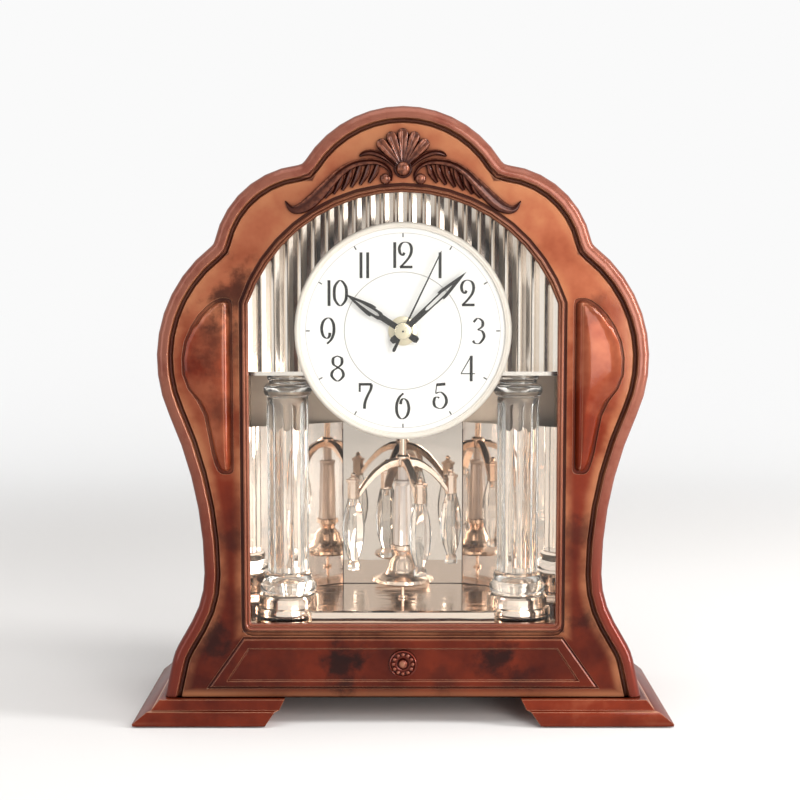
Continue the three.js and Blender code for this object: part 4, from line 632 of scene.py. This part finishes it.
def spline(points, per_span):
    """Points of any size along a smooth curve through the control points."""
    def at(i):
        return points[min(max(i, 0), len(points) - 1)]
    found = []
    for i in range(len(points) - 1):
        before, start, end, after = at(i - 1), at(i), at(i + 1), at(i + 2)
        for step in range(per_span):
            t = step / per_span
            found.append(tuple(
                0.5 * (2 * b + (c - a) * t + (2 * a - 5 * b + 4 * c - d) * t * t
                       + (3 * b - a - 3 * c + d) * t ** 3)
                for a, b, c, d in zip(before, start, end, after)))
    return found + [tuple(points[-1])]


def on_dial(radius, turn):
    """Place in x and z on the dial, at an angle in radians clockwise from twelve."""
    return radius * math.sin(turn), DIAL_Z + radius * math.cos(turn)


def make_piece(name, shape, material, body, replaces=()):
    """Makes a mesh from millimetres, gives it a finish and fixes it to its body."""
    mesh = bpy.data.meshes.new(name)
    mesh.from_pydata([tuple(value * MM for value in point) for point in shape.points], [],
                     shape.faces)
    mesh.validate()
    mesh.materials.append(material)
    piece = bpy.data.objects.new(name, mesh)
    bpy.context.scene.collection.objects.link(piece)
    if replaces:
        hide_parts(*replaces)
    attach(piece, body)
    return piece


class Shape:
    """Collects points in millimetres and faces of several solids into one mesh."""

    def __init__(self):
        self.points, self.faces = [], []

    def loft(self, rings, closed_ends=True):
        """Skins rings of equally many points."""
        first, count = len(self.points), len(rings[0])
        for ring in rings:
            self.points.extend(ring)
        for r in range(len(rings) - 1):
            for i in range(count):
                a, b = first + r * count + i, first + r * count + (i + 1) % count
                self.faces.append((a, b, b + count, a + count))
        if closed_ends:
            self.faces.append(tuple(range(first + count - 1, first - 1, -1)))
            last = first + (len(rings) - 1) * count
            self.faces.append(tuple(range(last, last + count)))

    def ribbon(self, line, width_of, y):
        """A flat strip along x and z points; its width may follow its direction."""
        first = len(self.points)
        for i, (x, z) in enumerate(line):
            (ax, az), (bx, bz) = line[max(i - 1, 0)], line[min(i + 1, len(line) - 1)]
            run, rise = bx - ax, bz - az
            length = math.hypot(run, rise) or 1.0
            half = width_of(run / length, rise / length) / 2
            self.points.append((x - rise / length * half, y, z + run / length * half))
            self.points.append((x + rise / length * half, y, z - run / length * half))
        for i in range(len(line) - 1):
            a = first + 2 * i
            self.faces.append((a, a + 1, a + 3, a + 2))

    def boss(self, x, z, profile):
        """A round boss on the ornament's seat through points of radius and height."""
        turns = [2 * math.pi * i / BOSS_SIDES for i in range(BOSS_SIDES)]
        rings = []
        for r, rise in profile:
            radius = max(r, BOSS_TIP)
            rings.append([(x + radius * math.cos(turn), SEAT_Y - rise, z + radius * math.sin(turn))
                          for turn in turns])
        self.loft(rings)

    def rib(self, control, section):
        """A raised rib on the ornament's seat through points of x, z, width and height."""
        line = spline(control, RIB_STEPS)
        rings = []
        for i, (x, z, width, height) in enumerate(line):
            (ax, az, *_), (bx, bz, *_) = line[max(i - 1, 0)], line[min(i + 1, len(line) - 1)]
            length = math.hypot(bx - ax, bz - az)
            along = ((bx - ax) / length, (bz - az) / length)
            outline = [(across * width / 2, SEAT_Y - RIB_FOOT - height * rise)
                       for across, rise in section]
            outline += [(width / 2, SEAT_Y), (-width / 2, SEAT_Y)]
            rings.append([(x - along[1] * a, y, z + along[0] * a) for a, y in outline])
        self.loft(rings)


def crest_shape():
    """Shell of five hollow petals over a ball, with a leaf to each side."""
    shape = Shape()
    for turn, size in PETALS:
        aside, up = math.sin(math.radians(turn)) * size, math.cos(math.radians(turn)) * size
        shape.rib([(aside * out, CREST_Z + up * out, width, height)
                   for out, width, height in PETAL], HOLLOW)
    shape.boss(0, CREST_Z, CREST_BALL)
    leaf = [(x, CREST_Z + z, width, height) for x, z, width, height in CREST_LEAF]
    shape.rib(leaf, RIMMED)
    shape.rib([(-x, z, width, height) for x, z, width, height in leaf],
              [(-across, rise) for across, rise in reversed(RIMMED)])
    return shape


def acanthus_shape(side):
    """Curled arm with a volute, and fronds down to the window frame; side is 1 or -1."""
    shape = Shape()
    arm = [(x, CREST_Z + z, width, height) for x, z, width, height in ARM_LINE]
    shape.rib(arm, RIMMED)
    shape.boss(VOLUTE_PLACE[0], CREST_Z + VOLUTE_PLACE[1], VOLUTE)
    outer = [point for point in spline(arm, 2 * RIB_STEPS) if point[0] > INNERMOST_FROND_X]
    reach = WINDOW["radius"] + FIELD_FROM_WINDOW + FROND_FROM_FIELD
    lean = FROND_LEAN * FROND_REACH
    for start in FROND_STARTS:
        top = min(outer, key=lambda point: abs(point[0] - start))[1]
        end = start + FROND_REACH
        bottom = WINDOW["arch_z"] + math.sqrt(reach ** 2 - end ** 2) + lean
        places = [(start, top), (start + lean, (top + bottom) / 2), (end, bottom)]
        shape.rib([place + size for place, size in zip(places, FROND_SIZES)], BLADE)
    if side < 0:
        shape.points = [(-x, y, z) for x, y, z in shape.points]
        shape.faces = [tuple(reversed(face)) for face in shape.faces]
    return shape


def pen(weight):
    """Width of a stroke by its direction."""
    if weight is None:
        return lambda run, rise: THIN + (THICK - THIN) * abs(rise) ** NIB_TURN
    return lambda run, rise: THICK * weight


def numerals_shape():
    """The twelve numerals, all upright, and a mark at each hour."""
    shape = Shape()
    ink_y = DIAL_FACE_Y - NUMERAL_LIFT
    for hour in range(1, 13):
        turn = math.radians(30 * hour)
        centre_x, centre_z = on_dial(NUMERAL_CIRCLE, turn)
        # A nine is a six turned round
        turned = hour == 9
        glyphs = "6" if turned else str(hour)
        left = -sum(GLYPHS[g][0] for g in glyphs) * NUMERAL_HEIGHT / 2
        for g in glyphs:
            advance, strokes = GLYPHS[g]
            for weight, curved, points in strokes:
                line = spline(points, NUMERAL_STEPS) if curved else points
                line = [(left + x * NUMERAL_HEIGHT, (z - 0.5) * NUMERAL_HEIGHT) for x, z in line]
                if turned:
                    line = [(-x, -z) for x, z in line]
                shape.ribbon([(centre_x + x, centre_z + z) for x, z in line], pen(weight), ink_y)
            left += advance * NUMERAL_HEIGHT
        shape.ribbon([on_dial(MARK_INNER, turn), on_dial(MARK_OUTER, turn)],
                     lambda run, rise: MARK_WIDTH, ink_y)
    return shape


def circles_shape():
    """The thin printed circles."""
    shape = Shape()
    turns = [2 * math.pi * i / CIRCLE_STEPS for i in range(CIRCLE_STEPS + 1)]
    for radius, width in CIRCLES:
        shape.ribbon([on_dial(radius, turn) for turn in turns], lambda run, rise: width,
                     DIAL_FACE_Y - CIRCLE_LIFT)
    return shape


def bezel_shape():
    """The ring round the dial."""
    shape = Shape()
    turns = [2 * math.pi * i / BEZEL_SIDES for i in range(BEZEL_SIDES)]
    rings = []
    for radius, y in BEZEL + BEZEL[:1]:
        places = [on_dial(radius, turn) for turn in turns]
        rings.append([(x, y, z) for x, z in places])
    shape.loft(rings, closed_ends=False)
    return shape


# Settings

def colour_property(name, description, hex_colour):
    return bpy.props.FloatVectorProperty(
        name=name, description=description, subtype="COLOR", size=4, min=0, max=1,
        default=linear(hex_colour))


def share_property(name, description, default):
    return bpy.props.FloatProperty(
        name=name, description=description, subtype="FACTOR", min=0, max=1, default=default)


def power_property(name, description, default):
    return bpy.props.FloatProperty(
        name=name, description=description, unit="POWER", min=0, default=default)


class CaseSettings(bpy.types.PropertyGroup):
    plum: colour_property("Outer band", "Lacquer on the lower band and window frame", "#64261a")
    # Partly painted sheen: the upper band's lighter colour stands in for light from above
    chestnut: colour_property("Upper band", "Lacquer on the upper outer moulding", "#845040")
    # The groove colour also paints shade in crevices and hollows, and partly in the grooves
    groove: colour_property("Groove", "Shade sprayed into the grooves", "#34120e")
    walnut: colour_property("Walnut", "Darkest colour of the field", "#401006")
    russet: colour_property("Russet", "Main colour of the field", "#6d2612")
    copper: colour_property("Copper", "Lighter colour of the field", "#96553a")
    # Amber also paints the highlight on the strip over the feet
    amber: colour_property("Amber", "Colour along the edges of the field", "#a76c4a")
    burl: colour_property("Smudges", "Darkest sprayed clouds", "#1c0a08")
    # Painted highlight: the bright edge colour, also on the rosette's beads and dome
    edges: colour_property("Bright edges", "Lacquer worn thin along raised edges", "#d29a78")
    chocolate: colour_property("Chocolate", "Lacquer in the ornament's hollows", "#36140c")
    rubbed: colour_property("Rubbed edges", "Lacquer rubbed through on high edges", "#ac6b50")
    plastic: colour_property("Rear case", "Bare plastic of the rear case", "#4f2519")
    rubber: colour_property("Pads", "Rubber under the feet", "#1c1a19")
    zinc: colour_property("Screws", "Plated screw heads", "#b9b7b2")
    spray_width: bpy.props.FloatProperty(
        name="Spray width", description="Width of the field's lighter edge", unit="LENGTH",
        default=5.0 * MM, min=0.1 * MM)
    pearl: share_property("Pearl", "Metallic share of the lacquer", 0.35)
    gloss: share_property("Roughness", "Roughness of the lacquer", 0.3)
    clear_coat: share_property("Clear coat", "Share of the clear coat", 0.3)


class InteriorSettings(bpy.types.PropertyGroup):
    silver: colour_property("Metallising", "Tint of the fluted wall", "#f8efe6")
    blush: colour_property("Floor metallising", "Tint of the floor tray", "#fae6d6")
    # Painted shade: tint of the wall's back and of its top under the arch
    shaded: colour_property("Shaded metallising", "Tint of the wall's depths", "#b5a393")
    # Painted reflection: one silvered sheet, tinted darker in the centre and lighter on the wings
    mirror: colour_property("Mirror", "Tint of the centre mirror", "#cdc2b8")
    wing: colour_property("Wing mirrors", "Tint of the slanted mirrors", "#fff0e4")
    rose: colour_property("Rose gold", "Plating of the pendulum", "#ffe6d2")
    pearl: colour_property("Pearl", "Fluted column of the pendulum", "#fbeee6")
    crystal: colour_property("Crystal", "Tint of the clear columns and drops", "#fdfbf8")


class DialSettings(bpy.types.PropertyGroup):
    face: colour_property("Face", "Printed dial card", "#f8f7f6")
    bezel: colour_property("Bezel", "Ring round the dial", "#ece4da")
    ink: colour_property("Ink", "Numerals and hands", "#15120f")
    ring_ink: colour_property("Ring ink", "Thin printed circles", "#bdb9b6")
    gilt: colour_property("Gilt", "Hand cap and washer", "#e4dac0")
    black: colour_property("Black plastic", "Movement and pendulum drive", "#1d1c1d")
    sleeve: colour_property("Battery", "Sleeve of the battery", "#2f5f8c")


class StudioSettings(bpy.types.PropertyGroup):
    floor: colour_property("Floor", "Paper under the clock", "#e3e1df")
    backdrop: colour_property("Backdrop", "Paper behind the clock", "#fafafa")
    surround: bpy.props.FloatProperty(
        name="Surroundings", description="Strength of the even light", default=0.46, min=0)
    key: power_property("Key light", "Power of the main softbox", 9.5)
    fill: power_property("Fill light", "Power of the left softbox", 4.0)


# Operators

class CLOCK_OT_finish_front(bpy.types.Operator):
    """Sprays the front case, its ornament and side panels"""
    bl_idname = "clock.finish_front"
    bl_label = "Front case"

    def execute(self, context):
        settings = context.scene.clock_case
        # Colour of the painted shade in the ornament's hollows
        painted_shade_colour = settings.groove[:]
        dress(airbrushed_copper_lacquer("airbrushed_copper_lacquer", settings),
              ["front_case"], 24.0)
        dress(airbrushed_copper_lacquer("airbrushed_panel_lacquer", settings, outlined=False),
              ["side_panel_right", "side_panel_left"], 40.0)
        chocolate = rubbed_lacquer("rubbed_chocolate_lacquer", settings.chocolate[:],
                                   settings.rubbed[:], painted_shade_colour, rubbing=0.5)
        # Rosette: its beads and dome rubbed towards the bright edge colour, a painted highlight
        dress(rubbed_lacquer("rubbed_copper_lacquer_and_highlight", settings.plum[:], settings.edges[:], painted_shade_colour),
              ["rosette_ring", "rosette_dome"], 50.0)
        shade(make_piece("carved_crest", crest_shape(), chocolate, "case",
                         ["crest_shell"]), 50.0)
        for side, name in ((1, "right"), (-1, "left")):
            shade(make_piece("carved_acanthus_" + name, acanthus_shape(side), chocolate, "case",
                             ["acanthus_" + name]), 50.0)
        dress(thin_clear_sheet("thin_clear_styrene_sheet"), ["window_lens"])
        return {"FINISHED"}


class CLOCK_OT_finish_back(bpy.types.Operator):
    """Finishes the rear case, feet, door and fixings"""
    bl_idname = "clock.finish_back"
    bl_label = "Back and feet"

    def execute(self, context):
        settings = context.scene.clock_case
        dress(airbrushed_copper_lacquer("airbrushed_foot_lacquer", settings, outlined=False,
                                        lift=0.14), ["foot_right", "foot_left"], 40.0)
        # Bare moulded brown plastic: an even red-brown with a dull, wide sheen
        dress(plain_surface("spark_eroded_brown_plastic", settings.plastic[:], 0.42, grain=0.35,
                            mottle=0.03), ["rear_case", "back_cover", "access_door"])
        # Moulded rubber: black and dull
        dress(plain_surface("moulded_black_rubber", settings.rubber[:], 0.75, grain=0.5),
              nodes_named("pad_"))
        # Zinc on screw heads: light grey metal, not quite a mirror
        dress(plain_surface("zinc_plated_steel", settings.zinc[:], 0.3, metallic=1.0),
              nodes_named("cover_screw"))
        return {"FINISHED"}


class CLOCK_OT_finish_interior(bpy.types.Operator):
    """Finishes the fluted wall, mirrors, floor and columns"""
    bl_idname = "clock.finish_interior"
    bl_label = "Interior"

    def execute(self, context):
        settings = context.scene.clock_interior
        film = vacuum_metallised_plastic
        # The wall's shaded tint is painted shade
        dress(film("vacuum_metallised_wall", settings.silver[:], 0.14, shaded=settings.shaded[:]),
              ["reflector_arch"], 25.0)
        dress(film("vacuum_metallised_floor", settings.blush[:], 0.12, ripple=0.15),
              ["floor_tray"], 25.0)
        # Flat sheets, silvered alike: a clear reflection. The centre's darker tint and the wings'
        # lighter, warmer tint are painted reflection
        dress(film("silvered_mirror", settings.mirror[:], 0.03, ripple=0.02), ["mirror_centre"])
        dress(film("wing_mirror_painted_reflection", settings.wing[:], 0.04, ripple=0.02),
              ["mirror_wing_right", "mirror_wing_left"])
        dress(moulded_crystal("moulded_clear_styrene", settings.crystal[:], milk=0.04),
              nodes_named("column_"))
        return {"FINISHED"}


class CLOCK_OT_finish_dial(bpy.types.Operator):
    """Finishes the dial, its print, the hands and the movement"""
    bl_idname = "clock.finish_dial"
    bl_label = "Dial and hands"

    def execute(self, context):
        settings = context.scene.clock_dial
        # Coated card: matt white without a highlight, so that the thin strokes stay readable
        dress(plain_surface("matt_dial_card", settings.face[:], 0.5, mottle=0.004), ["dial"])
        # Screen-printed inks: soft black and grey, no relief
        ink = plain_surface("printed_black_ink", settings.ink[:], 0.45)
        make_piece("dial_numerals", numerals_shape(), ink, "case")
        ring_ink = plain_surface("printed_grey_ink", settings.ring_ink[:], 0.5)
        make_piece("dial_circles", circles_shape(), ring_ink, "case")
        # Satin paint on the moulded ring: cream with one soft line of light round it
        paint = plain_surface("satin_bezel_paint", settings.bezel[:], 0.3, coat=0.3, mottle=0.01)
        shade(make_piece("smooth_bezel", bezel_shape(), paint, "case",
                         ["dial_bezel"]), 35.0)
        # Baked enamel on stamped hands: black with a faint edge of light
        dress(plain_surface("black_hand_enamel", settings.ink[:], 0.35),
              ["hour_hand", "minute_hand", "second_hand"])
        # Thin gilt plating: pale gold that mirrors the dial softly
        dress(plain_surface("gilt_plating", settings.gilt[:], 0.25, metallic=1.0),
              ["dial_washer", "post_nut"], 35.0)
        dress(gilt_round_dark_hub("gilt_round_dark_hub", settings.gilt[:], settings.ink[:]),
              ["hand_cap"], 35.0)
        # Moulded in an eroded tool: dark grey-black that scatters the light
        dress(plain_surface("spark_eroded_black_plastic", settings.black[:], 0.45, grain=0.4),
              ["movement_case", "movement_well", "setting_knob", "pendulum_drive"])
        # Shrunk plastic sleeve: plain blue with a soft shine
        dress(plain_surface("shrunk_battery_sleeve", settings.sleeve[:], 0.3), ["battery"], 35.0)
        return {"FINISHED"}


class CLOCK_OT_finish_pendulum(bpy.types.Operator):
    """Finishes the turning pendulum"""
    bl_idname = "clock.finish_pendulum"
    bl_label = "Pendulum"

    def execute(self, context):
        settings = context.scene.clock_interior
        # Copper-toned film on moulded arms and discs: bright, pink in its shadows
        plated = ["pendulum_bush", "guide_pin", "pendulum_rod", "pendulum_crown", "pendulum_base"]
        dress(plain_surface("rose_gold_plating", settings.rose[:], 0.16, metallic=0.9),
              plated + nodes_named("pendant_cap"), 35.0)
        # Moulded with pearl pigment: pale pink with a silky sheen along the flutes
        dress(plain_surface("pearl_pink_plastic", settings.pearl[:], 0.1, metallic=0.4, coat=0.5),
              ["pendulum_column"], 25.0)
        drops = [name for name in nodes_named("pendant_") if "cap" not in name]
        dress(moulded_crystal("moulded_crystal_drop", settings.crystal[:], milk=0.08), drops)
        return {"FINISHED"}


class CLOCK_OT_set_studio(bpy.types.Operator):
    """Sets the pale floor, the lights and the camera"""
    bl_idname = "clock.set_studio"
    bl_label = "Studio"

    def execute(self, context):
        scene, settings = context.scene, context.scene.clock_studio
        self.make_sweep(scene, settings)
        for name, place, size, power, share, colour in LAMPS:
            self.hang_softbox(scene, name, place, size, getattr(settings, power) * share, colour)
        scene.world = bpy.data.worlds.new("studio")
        pale_surroundings(scene.world, settings.backdrop[:], settings.surround)
        data = bpy.data.cameras.new("photo_camera")
        data.lens, data.sensor_width = PHOTO_CAMERA["lens"], PHOTO_CAMERA["sensor"]
        camera = bpy.data.objects.new("photo_camera", data)
        camera.location = Vector(PHOTO_CAMERA["place"]) * MM
        camera.rotation_euler = (math.radians(90.0 - PHOTO_CAMERA["pitch"]), 0, 0)
        scene.collection.objects.link(camera)
        scene.camera = camera
        scene.view_settings.view_transform = "Standard"
        return {"FINISHED"}

    def make_sweep(self, scene, settings):
        """Paper floor that bends up behind the clock."""
        half, bend, back = SWEEP["half"], SWEEP["bend"], SWEEP["back"]
        turns = [math.radians(90 / BEND_STEPS * step) for step in range(1, BEND_STEPS + 1)]
        profile = [(SWEEP["front"], 0.0), (back - bend, 0.0)]
        profile += [(back - bend + bend * math.sin(turn), bend - bend * math.cos(turn))
                    for turn in turns]
        profile.append((back, SWEEP["height"]))
        points = [(x, y, z) for y, z in profile for x in (-half, half)]
        faces = [(2 * i, 2 * i + 1, 2 * i + 3, 2 * i + 2) for i in range(len(profile) - 1)]
        mesh = bpy.data.meshes.new("backdrop")
        mesh.from_pydata(points, [], faces)
        mesh.shade_smooth()
        mesh.materials.append(paper_sweep("pale_paper", settings.floor[:], settings.backdrop[:]))
        floor = bpy.data.objects.new("backdrop", mesh)
        scene.collection.objects.link(floor)

    def hang_softbox(self, scene, name, place, size, power, colour):
        """Rectangular lamp turned to the clock's middle."""
        data = bpy.data.lights.new(name, "AREA")
        data.shape, data.size, data.size_y = "RECTANGLE", size[0], size[1]
        data.energy, data.color = power, colour
        lamp = bpy.data.objects.new(name, data)
        lamp.location = place
        ray = Vector(LAMP_AIM) - Vector(place)
        lamp.rotation_euler = ray.to_track_quat("-Z", "Y").to_euler()
        scene.collection.objects.link(lamp)


class CLOCK_PT_panel(bpy.types.Panel):
    """Desk clock pieces"""
    bl_idname = "CLOCK_PT_panel"
    bl_label = "Desk clock"
    bl_space_type = "VIEW_3D"
    bl_region_type = "UI"
    bl_category = "Clock"

    def draw(self, context):
        for operator in OPERATORS:
            self.layout.operator(operator.bl_idname)
        for group in SETTINGS:
            values = getattr(context.scene, group)
            for name in values.bl_rna.properties.keys():
                if name not in {"rna_type", "name"}:
                    self.layout.prop(values, name)


OPERATORS = [CLOCK_OT_finish_front, CLOCK_OT_finish_back, CLOCK_OT_finish_interior,
             CLOCK_OT_finish_dial, CLOCK_OT_finish_pendulum, CLOCK_OT_set_studio]
SETTINGS = {"clock_case": CaseSettings, "clock_interior": InteriorSettings,
            "clock_dial": DialSettings, "clock_studio": StudioSettings}


def register():
    for name, group in SETTINGS.items():
        bpy.utils.register_class(group)
        setattr(bpy.types.Scene, name, bpy.props.PointerProperty(type=group))
    for kind in (*OPERATORS, CLOCK_PT_panel):
        bpy.utils.register_class(kind)


def unregister():
    for kind in (CLOCK_PT_panel, *reversed(OPERATORS)):
        bpy.utils.unregister_class(kind)
    for name, group in reversed(SETTINGS.items()):
        delattr(bpy.types.Scene, name)
        bpy.utils.unregister_class(group)


def main():
    register()
    bpy.ops.clock.finish_front()
    bpy.ops.clock.finish_back()
    bpy.ops.clock.finish_interior()
    bpy.ops.clock.finish_dial()
    bpy.ops.clock.finish_pendulum()
    bpy.ops.clock.set_studio()


if __name__ == "__main__":
    main()
